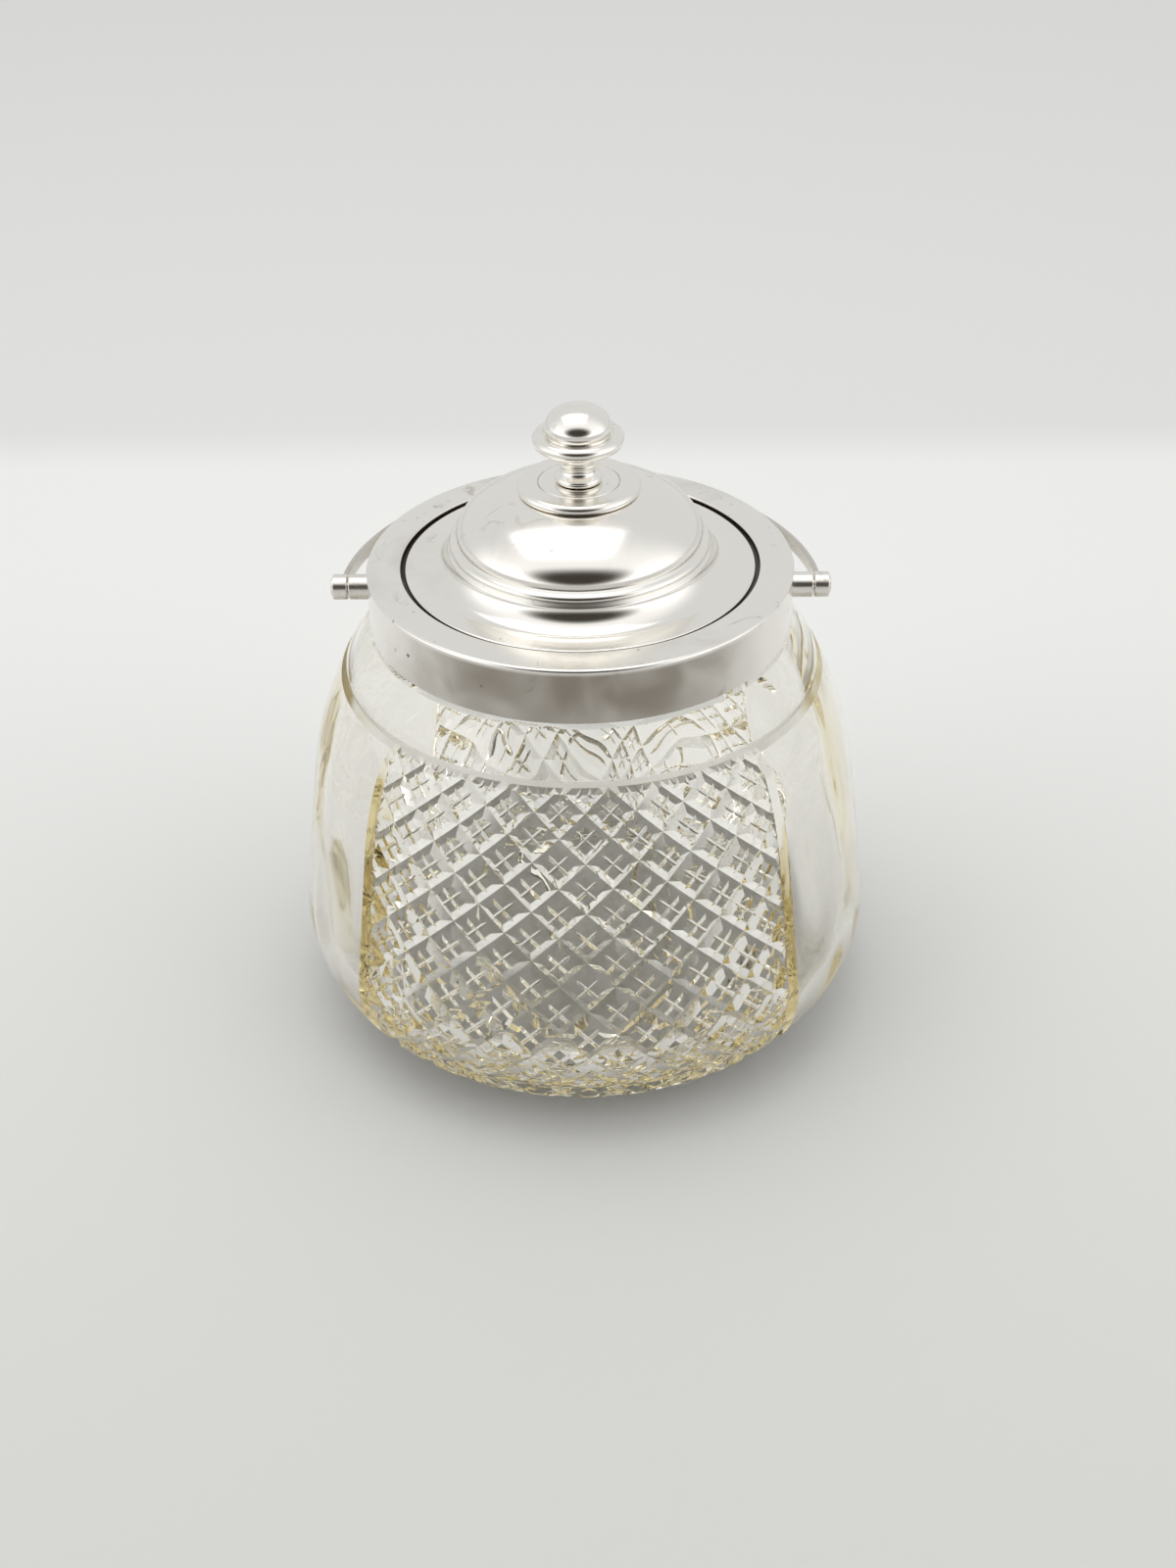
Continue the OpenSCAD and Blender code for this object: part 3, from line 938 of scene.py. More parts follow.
@dataclass
class CutJar:
    """The blown glass with its cut ring, two diamond-cut panels and upright cuts.

    The outside is drawn unrolled: azimuth across and unrolled length down. The cuts are scored
    into that sheet, and then it is rolled up and each place is sunk by the depth of its cut.

    Attributes:
        outline: the glass without its cuts.
        turn: where the front panel's middle faces, in degrees.
        columns: how many upright lines go round the plain glass.
        row: how far apart its level lines are, unrolled.
        coarse: the same above the ring and under the panels.
        ring_z: the height of the cut ring.
        ring_w: its width.
        ring_d: its depth.
        panel_half: half a panel's width, in degrees.
        mitre_w: the width of the upright cuts.
        mitre_d: their depth.
        mitre_tip: how long their points are.
        mitre_end: where they end on the heel, in degrees below level.
        pitch: how far apart the slanting grooves are, in degrees.
        groove_w: their width.
        groove_d: their depth.
        fine_w: the width of the fine cuts between them.
        fine_d: their depth.
        crossing_z: the height of one crossing.
        lattice_end: where the grooves end on the heel, in degrees below level.
        fade: over which length they end.
        mean_r: the radius at which the widths and depths hold.
        crisp: edges that turn by more than this many degrees stay crisp.
        weld: how near the sheet and the lining have to meet, in metres.
    """

    outline: GlassOutline = field(default_factory=GlassOutline)
    turn: float = -91.4
    columns: int = 180
    row: float = 0.042
    coarse: float = 0.03
    ring_z: float = 100.4
    ring_w: float = 3.1
    ring_d: float = 1.2
    panel_half: float = 46.2
    mitre_w: float = 3.4
    mitre_d: float = 1.6
    mitre_tip: float = 7.0
    mitre_end: float = 64.0
    pitch: float = 10.87
    groove_w: float = 4.2
    groove_d: float = 1.35
    fine_w: float = 1.1
    fine_d: float = 0.65
    crossing_z: float = 76.5
    lattice_end: float = 70.0
    fade: float = 5.0
    mean_r: float = 72.0
    crisp: float = 14.0
    weld: float = 2e-6

    def __post_init__(self) -> None:
        """Turns the sizes into unrolled ones."""
        ring = self.outline.along_height(self.ring_z)
        self.zero = self.outline.unrolled(ring + self.ring_w / 2)
        self.ring_rows = [self._down(ring + k * self.ring_w / 2) for k in (-1, 0, 1)]
        self.half = math.radians(self.panel_half)
        self.step = math.radians(self.pitch)
        self.groove = self.groove_w / 2 * math.sqrt(2) / self.mean_r
        self.fine = self.fine_w / 2 * math.sqrt(2) / self.mean_r
        self.notch = self.groove * (1 - self.fine_d / self.groove_d)
        self.mitre = self.mitre_w / 2 / self.mean_r
        self.tip = self.mitre_tip / self.mean_r
        self.phase = self._down(self.outline.along_height(self.crossing_z))
        self.top = self._down(0.0)
        self.bottom = self._down(self.outline.length)
        self.low = self._down(self.outline.along_heel(self.lattice_end))
        self.mitre_low = self._down(self.outline.along_heel(self.mitre_end))
        self.fade_l = self.fade / self.mean_r

    def _down(self, along: float) -> float:
        """The unrolled length below the cut ring's lower edge."""
        return self.outline.unrolled(along) - self.zero

    def _panel(self, across: float) -> float:
        """The azimuth from the middle of the nearer panel."""
        return across - math.pi if across > math.pi / 2 else across

    def lattice_lines(self) -> list[float]:
        """Where the lines of one direction lie within a pitch: groove, notches, fine cut."""
        middle = self.step / 2
        return [0.0, self.notch, self.groove, middle - self.fine, middle, middle + self.fine,
                self.step - self.groove, self.step - self.notch]

    def _grooves(self, where: float) -> float:
        """The depth of one direction's cuts.

        Args:
            where: the place across them, in radians.

        Returns:
            The depth, in millimetres.
        """
        rest = where % self.step
        deep = self.groove_d * (1 - min(rest, self.step - rest) / self.groove)
        fine = self.fine_d * (1 - abs(rest - self.step / 2) / self.fine)
        return max(deep, fine, 0.0)

    def depth(self, across: float, down: float) -> float:
        """How deep the cuts are at a place, on glass of the mean radius.

        Args:
            across: the azimuth from the front panel's middle, in radians.
            down: the unrolled length below the cut ring.

        Returns:
            The depth, in millimetres.
        """
        high, middle, low = self.ring_rows
        if down < -SLACK:
            limit = high if down < middle else low
            return self.ring_d * max((down - limit) / (middle - limit), 0.0)
        near = self._panel(across)
        edge = abs(near) - self.half
        deepest = 0.0
        if edge <= SLACK - self.mitre and down <= self.low:
            x, y = near + self.step / 4, down - self.phase
            fade = max(min((self.low - down) / self.fade_l, 1.0), 0.0)
            deepest = max(self._grooves(x + y), self._grooves(x - y)) * fade
        if abs(edge) <= self.mitre + SLACK:
            run = min(down / self.tip, (self.mitre_low - down) / self.tip, 1.0)
            deepest = max(deepest, self.mitre_d * (run - abs(edge) / self.mitre))
        return deepest

    @staticmethod
    def _inside(bm: bmesh.types.BMesh, box: Sequence[float]) -> list[bmesh.types.BMFace]:
        """The sheet's faces in a part of it.

        Args:
            bm: the sheet.
            box: the part's limits: across from, across to, down from, down to.

        Returns:
            The faces.
        """
        faces = []
        for face in bm.faces:
            middle = face.calc_center_median()
            if box[0] < middle.x < box[1] and box[2] < -middle.y < box[3]:
                faces.append(face)
        return faces

    def _comb(self, bm: bmesh.types.BMesh, box: Sequence[float], way: Point,
              places: Iterable[float]) -> None:
        """Scores parallel straight lines into a part of the sheet.

        Args:
            bm: the sheet.
            box: the part's limits.
            way: the direction square to the lines.
            places: where the lines lie along that direction, times its length.
        """
        faces = self._inside(bm, box)
        size = way[0] ** 2 + way[1] ** 2
        for place in sorted(places):
            geometry = set(faces)
            for face in faces:
                geometry.update(face.edges)
                geometry.update(face.verts)
            spot = (way[0] * place / size, -way[1] * place / size, 0)
            cut = bmesh.ops.bisect_plane(bm, geom=list(geometry), dist=SNAP, plane_co=spot,
                                         plane_no=(way[0], -way[1], 0))
            faces = []
            for face in cut["geom"]:
                if isinstance(face, bmesh.types.BMFace):
                    middle = face.calc_center_median()
                    if middle.x * way[0] - middle.y * way[1] > place:
                        faces.append(face)

    def _level(self, bm: bmesh.types.BMesh, box: Sequence[float], rows: Iterable[float]) -> None:
        """Scores level lines into a part of the sheet."""
        self._comb(bm, box, (0.0, 1.0), rows)

    def _upright(self, bm: bmesh.types.BMesh, box: Sequence[float],
                 places: Iterable[float]) -> None:
        """Scores upright lines into a part of the sheet."""
        self._comb(bm, box, (1.0, 0.0), places)

    @staticmethod
    def _rows(start: float, end: float, step: float) -> list[float]:
        """Evenly spaced places between two others."""
        count = max(round((end - start) / step), 1)
        return [start + (end - start) * i / count for i in range(1, count)]

    def _lattice(self, bm: bmesh.types.BMesh, box: Sequence[float]) -> None:
        """Scores the two slanting directions of a panel's cuts.

        Args:
            bm: the sheet.
            box: the panel's limits.
        """
        shift = self.step / 4 - (box[0] + box[1]) / 2
        for slant in (1, -1):
            rest = shift - slant * self.phase
            corners = [x + slant * y + rest for x in box[:2] for y in box[2:]]
            low, high = min(corners), max(corners)
            values = [k * self.step + line for line in self.lattice_lines()
                      for k in range(math.floor(low / self.step), math.ceil(high / self.step))]
            self._comb(bm, box, (1.0, float(slant)), [v - rest for v in values if low < v < high])

    def _crease(self, bm: bmesh.types.BMesh) -> None:
        """Splits every face along the crease that the cuts leave in it.

        Args:
            bm: the sheet.
        """
        for face in [f for f in bm.faces if len(f.verts) == 4]:
            verts = list(face.verts)
            depths = [self.depth(v.co.x, -v.co.y) for v in verts]
            if abs(depths[0] + depths[2] - depths[1] - depths[3]) < SLACK:
                continue
            ends = (verts[0].co + verts[2].co) / 2, (verts[1].co + verts[3].co) / 2
            misses = [abs(self.depth(p.x, -p.y) - (depths[i] + depths[i + 2]) / 2)
                      for i, p in enumerate(ends)]
            pick = 0 if misses[0] <= misses[1] else 1
            bmesh.utils.face_split(face, verts[pick], verts[pick + 2])
        bmesh.ops.triangulate(bm, faces=[f for f in bm.faces if len(f.verts) > 4])

    def _frame_cut(self, bm: bmesh.types.BMesh, edge: float) -> None:
        """Scores one upright cut with its pointed ends.

        Args:
            bm: the sheet.
            edge: the azimuth of its deepest line.
        """
        strip = (edge - self.mitre, edge + self.mitre, 0.0, self.low)
        last = self.mitre_low - self.tip
        self._level(bm, strip, (self.tip, last, self.mitre_low))
        tips = ((0.0, self.tip, 0.0, 1), (last, self.mitre_low, self.mitre_low, -1))
        for top, bottom, point, way in tips:
            for lean in (-1, 1):
                slope = -lean * way * self.mitre / self.tip
                self._comb(bm, (*strip[:2], top, bottom), (1.0, slope), [edge + slope * point])
        self._level(bm, strip, self._rows(0.0, self.low, self.row))

    def _sheet(self) -> bmesh.types.BMesh:
        """The scored sheet, still flat. The back half is a copy of the front half.

        Returns:
            The sheet.
        """
        bm = bmesh.new()
        bmesh.ops.create_grid(bm, x_segments=1, y_segments=1, size=1.0)
        start, end = -math.pi / 2, math.pi / 2
        for vert in bm.verts:
            vert.co.x = start if vert.co.x < 0 else end
            vert.co.y = -self.bottom if vert.co.y < 0 else -self.top
        every = [start + TAU * k / self.columns for k in range(1, self.columns // 2)]
        self._level(bm, (start, end, self.top, self.bottom), (self.ring_rows[0], 0.0, self.low))
        edges = (-self.half, self.half)
        self._upright(bm, (start, end, 0.0, self.low),
                      [edge + k * self.mitre for edge in edges for k in (-1, 0, 1)])
        inner, outer = self.half - self.mitre, self.half + self.mitre
        self._lattice(bm, (-inner, inner, 0.0, self.low))
        for edge in edges:
            self._frame_cut(bm, edge)
        for low, high in ((start, -outer), (outer, end)):
            side = (low, high, 0.0, self.low)
            self._upright(bm, side, [x for x in every if low < x < high])
            self._level(bm, side, self._rows(0.0, self.low, self.row))
        above = (start, end, self.top, 0.0)
        self._upright(bm, above, every)
        rows = self._rows(self.top, self.ring_rows[0], self.coarse)
        self._level(bm, above, [self.ring_rows[1]] + rows)
        below = (start, end, self.low, self.bottom)
        self._upright(bm, below, every)
        self._level(bm, below, self._rows(self.low, self.bottom, self.coarse))
        self._crease(bm)
        copy = bmesh.ops.duplicate(bm, geom=bm.verts[:] + bm.edges[:] + bm.faces[:])["geom"]
        moved = [v for v in copy if isinstance(v, bmesh.types.BMVert)]
        bmesh.ops.translate(bm, verts=moved, vec=(math.pi, 0, 0))
        return bm

    def _lining(self) -> bpy.types.Mesh:
        """The neck, the inside and the base, spun with the same columns as the sheet.

        Returns:
            The mesh, whose points carry the attribute lining.
        """
        bm = bmesh.new()
        start = math.radians(self.turn) - math.pi / 2
        for line in (self.outline.inside(), self.outline.underside()):
            spin_round(bm, chain(bm, line, False, start), self.columns)
        layer = bm.verts.layers.float.new("lining")
        for vert in bm.verts:
            vert[layer] = 1.0
        lining = bpy.data.meshes.new("lining")
        bm.to_mesh(lining)
        bm.free()
        return lining

    def build(self) -> bpy.types.Object:
        """Rolls the sheet up, sinks the cuts and closes the glass.

        Returns:
            The glass.
        """
        bm = self._sheet()
        middle = math.radians(self.turn)
        for vert in bm.verts:
            across, down = vert.co.x, -vert.co.y
            radius, height, out_r, out_z = self.outline.spot(self.outline.along(down + self.zero))
            deep = self.depth(across, down) * radius / self.mean_r
            radius, height = radius - out_r * deep, height - out_z * deep
            turn = middle + across
            vert.co = Vector((radius * math.cos(turn), radius * math.sin(turn), height)) * MM
        lining = self._lining()
        bm.from_mesh(lining)
        bpy.data.meshes.remove(lining)
        bmesh.ops.remove_doubles(bm, verts=bm.verts, dist=self.weld)
        return finished(bm, "cut_glass_jar", self.crisp)


# ---------------------------------------------------------------- the silver mount


@dataclass
class Mount:
    """The plated wall and flat ring on the glass neck, with the sleeve and ledge inside it.

    Attributes:
        radius: the wall's outer radius.
        foot: the height of the wall's lower edge.
        top: the height of the flat ring.
        sheet: the sheet's thickness.
        edge: the roundness of the upper outer edge.
        hem: how far the wall's lower edge is rounded.
        mouth: the ring's inner radius.
        sleeve: the sleeve's thickness.
        sleeve_foot: the height of its lower edge.
        ledge: the ledge's inner radius.
        ledge_top: the ledge's height.
        ledge_t: its thickness.
        ledge_hem: how far its edge is rounded.
    """

    radius: float = 54.0
    foot: float = MOUNT_FOOT
    top: float = 128.0
    sheet: float = 0.9
    edge: float = 0.85
    hem: float = 0.3
    mouth: float = 45.4
    sleeve: float = 0.6
    sleeve_foot: float = 115.1
    ledge: float = 43.2
    ledge_top: float = 126.6
    ledge_t: float = 1.2
    ledge_hem: float = 0.2

    def _collar(self) -> list[Point]:
        """The half outline of the wall and the flat ring.

        Returns:
            The outline's radii and heights.
        """
        wall, half = self.radius - self.sheet, self.sheet / 2
        return ([(wall, self.foot), (self.radius - self.hem, self.foot),
                 (self.radius, self.foot + self.hem)]
                + arc((self.radius - self.edge, self.top - self.edge), self.edge, 0, 90, steps=8)
                + arc((self.mouth + half, self.top - half), half, 90, 270, steps=10)
                + [(wall, self.top - self.sheet)])

    def _sleeve(self) -> list[Point]:
        """The half outline of the sleeve with its ledge.

        Returns:
            The outline's radii and heights.
        """
        under, low = self.top - self.sheet, self.ledge_top - self.ledge_t
        outer = self.mouth + self.sleeve
        return [(outer, under), (self.mouth, under), (self.mouth, self.ledge_top),
                (self.ledge + self.ledge_hem, self.ledge_top),
                (self.ledge, self.ledge_top - self.ledge_hem), (self.ledge, low),
                (self.mouth, low), (self.mouth, self.sleeve_foot), (outer, self.sleeve_foot)]

    def build(self) -> None:
        """Builds both pieces and dresses them."""
        # Painted shade: the front of the wall is darkened brown, low down, for the dark reflection
        # it shows.
        plate = SilverPlate("mount_plate", gloss=0.17, tarnish=0.6, pits=0.8, front_shade=0.9)
        collar = spun("mount_collar", self._collar(), steps=144)
        dressed(collar, Body.JAR, plate, "collar")
        # Painted shade: the sleeve is nearly black, for the shade in the gap between the lid and
        # the mount.
        plate = SilverPlate("sleeve_painted_shade", gloss=0.4, tarnish=1.0, pits=1.0,
                            bright=(0.10, 0.085, 0.07), dull=(0.05, 0.042, 0.035),
                            stain=(0.02, 0.017, 0.014))
        sleeve = spun("mount_sleeve", self._sleeve(), steps=128)
        dressed(sleeve, Body.JAR, plate, "collar_sleeve")


@dataclass
class Pivots:
    """The two riveted pivots: a lug on the mount, an eye on the strap and a pin on each side.

    Attributes:
        height: the height of their axis.
        barrel: the lugs' and eyes' radius.
        lug_start: where a lug starts, from the jar's axis.
        lug_end: where it ends.
        eye_start: where an eye starts.
        eye_end: where it ends.
        pin: the pin's radius.
        bore: the eye's inner radius.
        pin_start: where a pin starts inside its lug.
        head: the rivet head's radius.
        head_gap: the play under it.
        head_edge: where its dome starts, from the eye's end.
        head_end: where it ends.
        bevel: the roundness of the barrels' edges.
    """

    height: float = PIVOT_Z
    barrel: float = 3.25
    lug_start: float = 53.35
    lug_end: float = 59.1
    eye_start: float = 59.4
    eye_end: float = 63.2
    pin: float = 1.5
    bore: float = 1.56
    pin_start: float = 55.0
    head: float = 2.35
    head_gap: float = 0.06
    head_edge: float = 0.2
    head_end: float = 63.86
    bevel: float = 0.35

    def _turned(self, name: str, line: Sequence[Point], side: int) -> bpy.types.Object:
        """A piece turned about the pivots' axis.

        Args:
            name: its name.
            line: its half outline, as radii and places along the axis.
            side: 1 on the right and -1 on the left.

        Returns:
            The piece.
        """
        piece = spun(name, line, steps=48)
        tip = Matrix.Rotation(math.pi / 2 * side, 4, "Y")
        piece.data.transform(Matrix.Translation((0, 0, self.height * MM)) @ tip)
        return piece

    def build(self) -> None:
        """Builds the six pieces and dresses them."""
        soft, lug_out, eye_in, eye_out = self.bevel, self.lug_end, self.eye_start, self.eye_end
        under, dome = eye_out + self.head_gap, eye_out + self.head_edge
        edge = self.barrel - soft
        lug = ([(0.0, self.lug_start), (self.barrel, self.lug_start)]
               + arc((edge, lug_out - soft), soft, 0, 90, steps=5)
               + [(self.pin, lug_out), (self.pin, self.pin_start), (0.0, self.pin_start)])
        rivet = ([(0.0, self.pin_start), (self.pin, self.pin_start), (self.pin, under),
                  (self.head, under)]
                 + bowed(dome, self.head, self.head_end - dome, 0.0, steps=8))
        eye = ([(self.bore, eye_in)]
               + arc((edge, eye_in + soft), soft, -90, 0, steps=5)
               + arc((edge, eye_out - soft), soft, 0, 90, steps=5) + [(self.bore, eye_out)])
        plate = SilverPlate("pivot_plate", gloss=0.2, tarnish=1.0, pits=1.0)
        kinds = (("lug_barrel", lug, Body.JAR, "lug"), ("rivet", rivet, Body.JAR, "pivot_pin"),
                 ("eye_barrel", eye, Body.HANDLE, "eye"))
        for word, side in (("left", -1), ("right", 1)):
            for kind, line, body, node in kinds:
                piece = self._turned(f"{word}_{kind}", line, side)
                dressed(piece, body, plate, f"{word}_{node}")


@dataclass
class Handle:
    """The arched strap, folded to the back and drooping a little below level.

    Attributes:
        foot: how far its feet lie from the jar's axis.
        side_round: the radius of its two flatter sides.
        sweep: how far each side turns, in degrees.
        top_c: how far behind the axis its top arc is centred.
        thick: its thickness.
        wide: its width.
        soft: the roundness of its edges.
        droop: how far it hangs below level, in degrees.
        start: how far along the side arc its feet end, in degrees.
        side_steps: how many stretches a side has.
        top_steps: how many the top has.
        pivot_z: the height of its pivots.
        crisp: edges that turn by more than this many degrees stay crisp.
    """

    foot: float = 60.5
    side_round: float = 85.0
    sweep: float = 32.29
    top_c: float = 15.48
    thick: float = 1.4
    wide: float = 3.6
    soft: float = 0.4
    droop: float = 5.0
    start: float = 1.8
    side_steps: int = 16
    top_steps: int = 72
    pivot_z: float = PIVOT_Z
    crisp: float = 40.0

    def _section(self) -> list[Point]:
        """The strap's rounded section.

        Returns:
            Its points, across the thickness and across the width.
        """
        x, z = self.thick / 2 - self.soft, self.wide / 2 - self.soft
        corners = ((x, z, 0), (-x, z, 90), (-x, -z, 180), (x, -z, 270))
        return [spot for cx, cz, start in corners
                for spot in arc((cx, cz), self.soft, start, start + 90, steps=3)]

    def build(self) -> None:
        """Bends the strap by three turns of its section and dresses it."""
        bm = bmesh.new()
        verts = [bm.verts.new((self.foot + x, 0, z)) for x, z in self._section()]
        ring = verts + [bm.edges.new((verts[i - 1], verts[i])) for i in range(len(verts))]
        side_c = self.side_round - self.foot
        bmesh.ops.rotate(bm, verts=verts, cent=(-side_c, 0, 0),
                         matrix=Matrix.Rotation(math.radians(self.start), 3, "Z"))
        side = self.sweep - self.start
        turns = ((-side_c, 0.0, side, self.side_steps),
                 (0.0, self.top_c, 180 - 2 * self.sweep, self.top_steps),
                 (side_c, 0.0, side, self.side_steps))
        for x, y, angle, steps in turns:
            spin = bmesh.ops.spin(bm, geom=ring, cent=(x, y, 0), axis=(0, 0, 1),
                                  angle=math.radians(angle), steps=steps)
            ring = spin["geom_last"]
        bmesh.ops.holes_fill(bm, edges=bm.edges, sides=0)
        tilt = Matrix.Rotation(math.radians(-self.droop), 4, "X")
        bmesh.ops.transform(bm, verts=bm.verts,
                            matrix=Matrix.Translation((0, 0, self.pivot_z)) @ tilt)
        bmesh.ops.scale(bm, vec=(MM, MM, MM), verts=bm.verts)
        plate = SilverPlate("strap_plate", gloss=0.16, tarnish=0.6, pits=0.5,
                            bright=(0.62, 0.59, 0.54), dull=(0.47, 0.44, 0.39))
        strap = finished(bm, "handle_band", self.crisp)
        dressed(strap, Body.HANDLE, plate, "handle_strap")


# ---------------------------------------------------------------- the lid and its knob


@dataclass
class Lid:
    """The spun lid: dome, bead, hollow moulding and flat rim, and the skirt under it.

    Attributes:
        rim: the rim's radius.
        rim_top: its height.
        sheet: the sheet's thickness.
        cove_r: where the hollow moulding's foot lies.
        cove: its roundness.
        bead_r: where the bead's middle lies.
        bead: its roundness.
        bead_rise: how far its middle lies above the moulding, in its own radii.
        dome: the dome's half width.
        dome_h: its height.
        dome_rise: how far it starts above the bead's middle, in the bead's radii.
        crown: where its flat top starts.
        hole: the radius of the stud's hole.
        skirt: the skirt's outer radius.
        skirt_foot: the height of its lower edge.
        hem: how far that edge is rounded.
        crisp: edges that turn by more than this many degrees stay crisp.
    """

    rim: float = 44.3
    rim_top: float = 127.5
    sheet: float = 0.9
    cove_r: float = 39.2
    cove: float = 6.0
    bead_r: float = 31.2
    bead: float = 1.5
    bead_rise: float = 0.3
    dome: float = 31.0
    dome_h: float = 13.6
    dome_rise: float = 1.35
    crown: float = 13.0
    hole: float = STUD_HOLE
    skirt: float = 42.8
    skirt_foot: float = 120.6
    hem: float = 0.3
    crisp: float = 34.0

    def _shell(self) -> list[Point]:
        """The half outline of the lid's sheet.

        Returns:
            The outline's radii and heights.
        """
        half = self.sheet / 2
        cove_z = self.rim_top + self.cove
        bead_z = cove_z + self.bead * self.bead_rise
        dome_z = bead_z + self.bead * self.dome_rise
        dome = bowed(dome_z, self.dome, self.dome_h, self.crown, steps=40)
        skin = ([(self.hole, dome[-1][1])] + dome[::-1]
                + arc((self.bead_r, bead_z), self.bead, 75, -15, steps=12)
                + arc((self.cove_r, cove_z), self.cove, 187, 270, steps=20)
                + [(self.rim - half, self.rim_top)])
        roll = arc((self.rim - half, self.rim_top - half), half, 80, -80, steps=8)
        return skin + roll + beside(skin, -self.sheet)[::-1]

    def _skirt(self) -> list[Point]:
        """The half outline of the skirt."""
        under, inner = self.rim_top - self.sheet, self.skirt - self.sheet
        return [(self.skirt, under), (self.skirt, self.skirt_foot + self.hem),
                (self.skirt - self.hem, self.skirt_foot), (inner, self.skirt_foot),
                (inner, under)]

    def build(self) -> None:
        """Builds both pieces and dresses them."""
        shell = spun("lid_dome", self._shell(), steps=144, sharp=self.crisp)
        dressed(shell, Body.LID,
                SilverPlate("lid_plate", gloss=0.14, tarnish=0.35, pits=0.35), "lid_shell")
        skirt = spun("lid_inner_skirt", self._skirt(), steps=96)
        dressed(skirt, Body.LID,
                SilverPlate("skirt_plate", gloss=0.3, tarnish=1.0, pits=0.8), "lid_skirt")


@dataclass
class Knob:
    """The turned knob on its ring moulding, and what fastens it under the lid.

    Attributes:
        base: the height at which it stands on the dome.
        foot_top: the height of the foot and the ring moulding.
        flange_z: where the flange starts.
        ball_z: where the ball starts.
        hole: the radius of the stud's hole.
        bore: the height at which the stud's hole ends.
        plinth: the ring moulding's radius.
        plinth_foot: where its edge meets the dome.
        edge: its roundness.
        foot: the foot's radius.
        seam: the gap round it.
        soft: how far the edges along the seam are cut back.
        swell: the radius of the stem's lower swelling.
        swell_h: its roundness.
        waist: the stem's least radius.
        hollow: the waist's points: how much wider they are, and their share of the height.
        lip: the radius of the small ring on the stem.
        lip_h: its roundness.
        lip_at: its share of the stem's height.
        flare: the points above it, given as the waist's.
        flare_out: how much wider than the small ring the stem ends under the flange.
        flange: the flange's radius.
        ball: the ball's half width.
        ball_h: how high it rises above its widest place.
        ball_foot: how high its widest place lies.
        ball_line: the points of its turned-in foot: how much narrower, and how high up.
        seat: how far the groove in the flange reaches to both sides of the ball's edge, at the
            top and at its floor.
        seat_d: the groove's depth.
        crisp: edges that turn by more than this many degrees stay crisp.
    """

    base: float = 148.32
    foot_top: float = 150.12
    flange_z: float = 159.52
    ball_z: float = 162.92
    hole: float = STUD_HOLE
    bore: float = 156.12
    plinth: float = 15.4
    plinth_foot: float = 13.3
    edge: float = 1.5
    foot: float = 10.1
    seam: float = 0.1
    soft: float = 0.18
    swell: float = 6.0
    swell_h: float = 1.1
    waist: float = 4.4
    hollow: tuple[Point, ...] = ((0.45, 0.28), (0.22, 0.31), (0.1, 0.34), (0.02, 0.37),
                                 (0.0, 0.40), (0.05, 0.45))
    lip: float = 4.95
    lip_h: float = 0.5
    lip_at: float = 0.54
    flare: tuple[Point, ...] = ((0.0, 0.62), (0.5, 0.78))
    flare_out: float = 1.2
    flange: float = 11.37
    ball: float = 8.27
    ball_h: float = 5.75
    ball_foot: float = 1.4
    ball_line: tuple[Point, ...] = ((0.6, 0.0), (0.25, 0.4), (0.06, 0.9))
    seat: tuple[float, float] = (0.5, 0.3)
    seat_d: float = 0.35
    crisp: float = 34.0

    def _plinth(self) -> list[Point]:
        """The half outline of the ring moulding.

        Returns:
            The outline's radii and heights.
        """
        inner = self.foot + self.seam
        middle = (self.plinth - self.edge, self.foot_top - self.edge)
        return ([(inner + self.soft, self.foot_top)]
                + arc(middle, self.edge, 90, -20, steps=14)
                + [(self.plinth_foot, self.base), (inner, self.base),
                   (inner, self.foot_top - self.soft)])

    def _foot(self) -> list[Point]:
        """The half outline of the flat foot."""
        return [(self.hole, self.base), (self.foot, self.base),
                (self.foot, self.foot_top - self.soft), (self.foot - self.soft, self.foot_top),
                (self.hole, self.foot_top)]

    def _stem(self) -> list[Point]:
        """The half outline of the stem.

        Returns:
            The outline's radii and heights.
        """
        low, tall = self.foot_top, self.flange_z - self.foot_top
        hollow, flare = ([(self.waist + out, low + tall * share) for out, share in line]
                         for line in (self.hollow, self.flare))
        return ([(self.hole, low)]
                + arc((self.swell - self.swell_h, low + self.swell_h), self.swell_h, -55, 35,
                      steps=10)
                + hollow
                + arc((self.lip - self.lip_h, low + tall * self.lip_at), self.lip_h, -70, 70,
                      steps=8)
                + flare + [(self.lip + self.flare_out, self.flange_z), (0.0, self.flange_z),
                           (0.0, self.bore), (self.hole, self.bore)])

    def _flange(self) -> list[Point]:
        """The half outline of the flange, with the groove round the ball.

        Returns:
            The outline's radii and heights.
        """
        half = (self.ball_z - self.flange_z) / 2
        wide, narrow = self.seat
        groove = [(self.ball + wide, self.ball_z), (self.ball + narrow, self.ball_z - self.seat_d),
                  (self.ball - narrow, self.ball_z - self.seat_d), (self.ball - wide, self.ball_z)]
        return ([(0.0, self.flange_z)]
                + arc((self.flange - half, self.flange_z + half), half, -90, 90, steps=20)
                + groove + [(0.0, self.ball_z)])

    def _ball(self) -> list[Point]:
        """The half outline of the ball."""
        return ([(0.0, self.ball_z)]
                + [(self.ball - less, self.ball_z + rise) for less, rise in self.ball_line]
                + bowed(self.ball_z + self.ball_foot, self.ball, self.ball_h, 0.0, steps=28))

    def build(self) -> None:
        """Builds the turned pieces and dresses them and the fastening."""
        plate = SilverPlate("knob_plate", gloss=0.13, tarnish=0.4, pits=0.5)
        lines = {"knob_plinth": self._plinth(), "knob_foot": self._foot(),
                 "knob_stem": self._stem(), "knob_flange": self._flange(),
                 "knob_ball": self._ball()}
        for node, line in lines.items():
            piece = spun(f"{node}_turned", line, steps=96, sharp=self.crisp)
            dressed(piece, Body.LID, plate, node)
        for node in ("knob_stud", "knob_washer", "knob_nut"):
            painted(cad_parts[node], TurnedBrass())


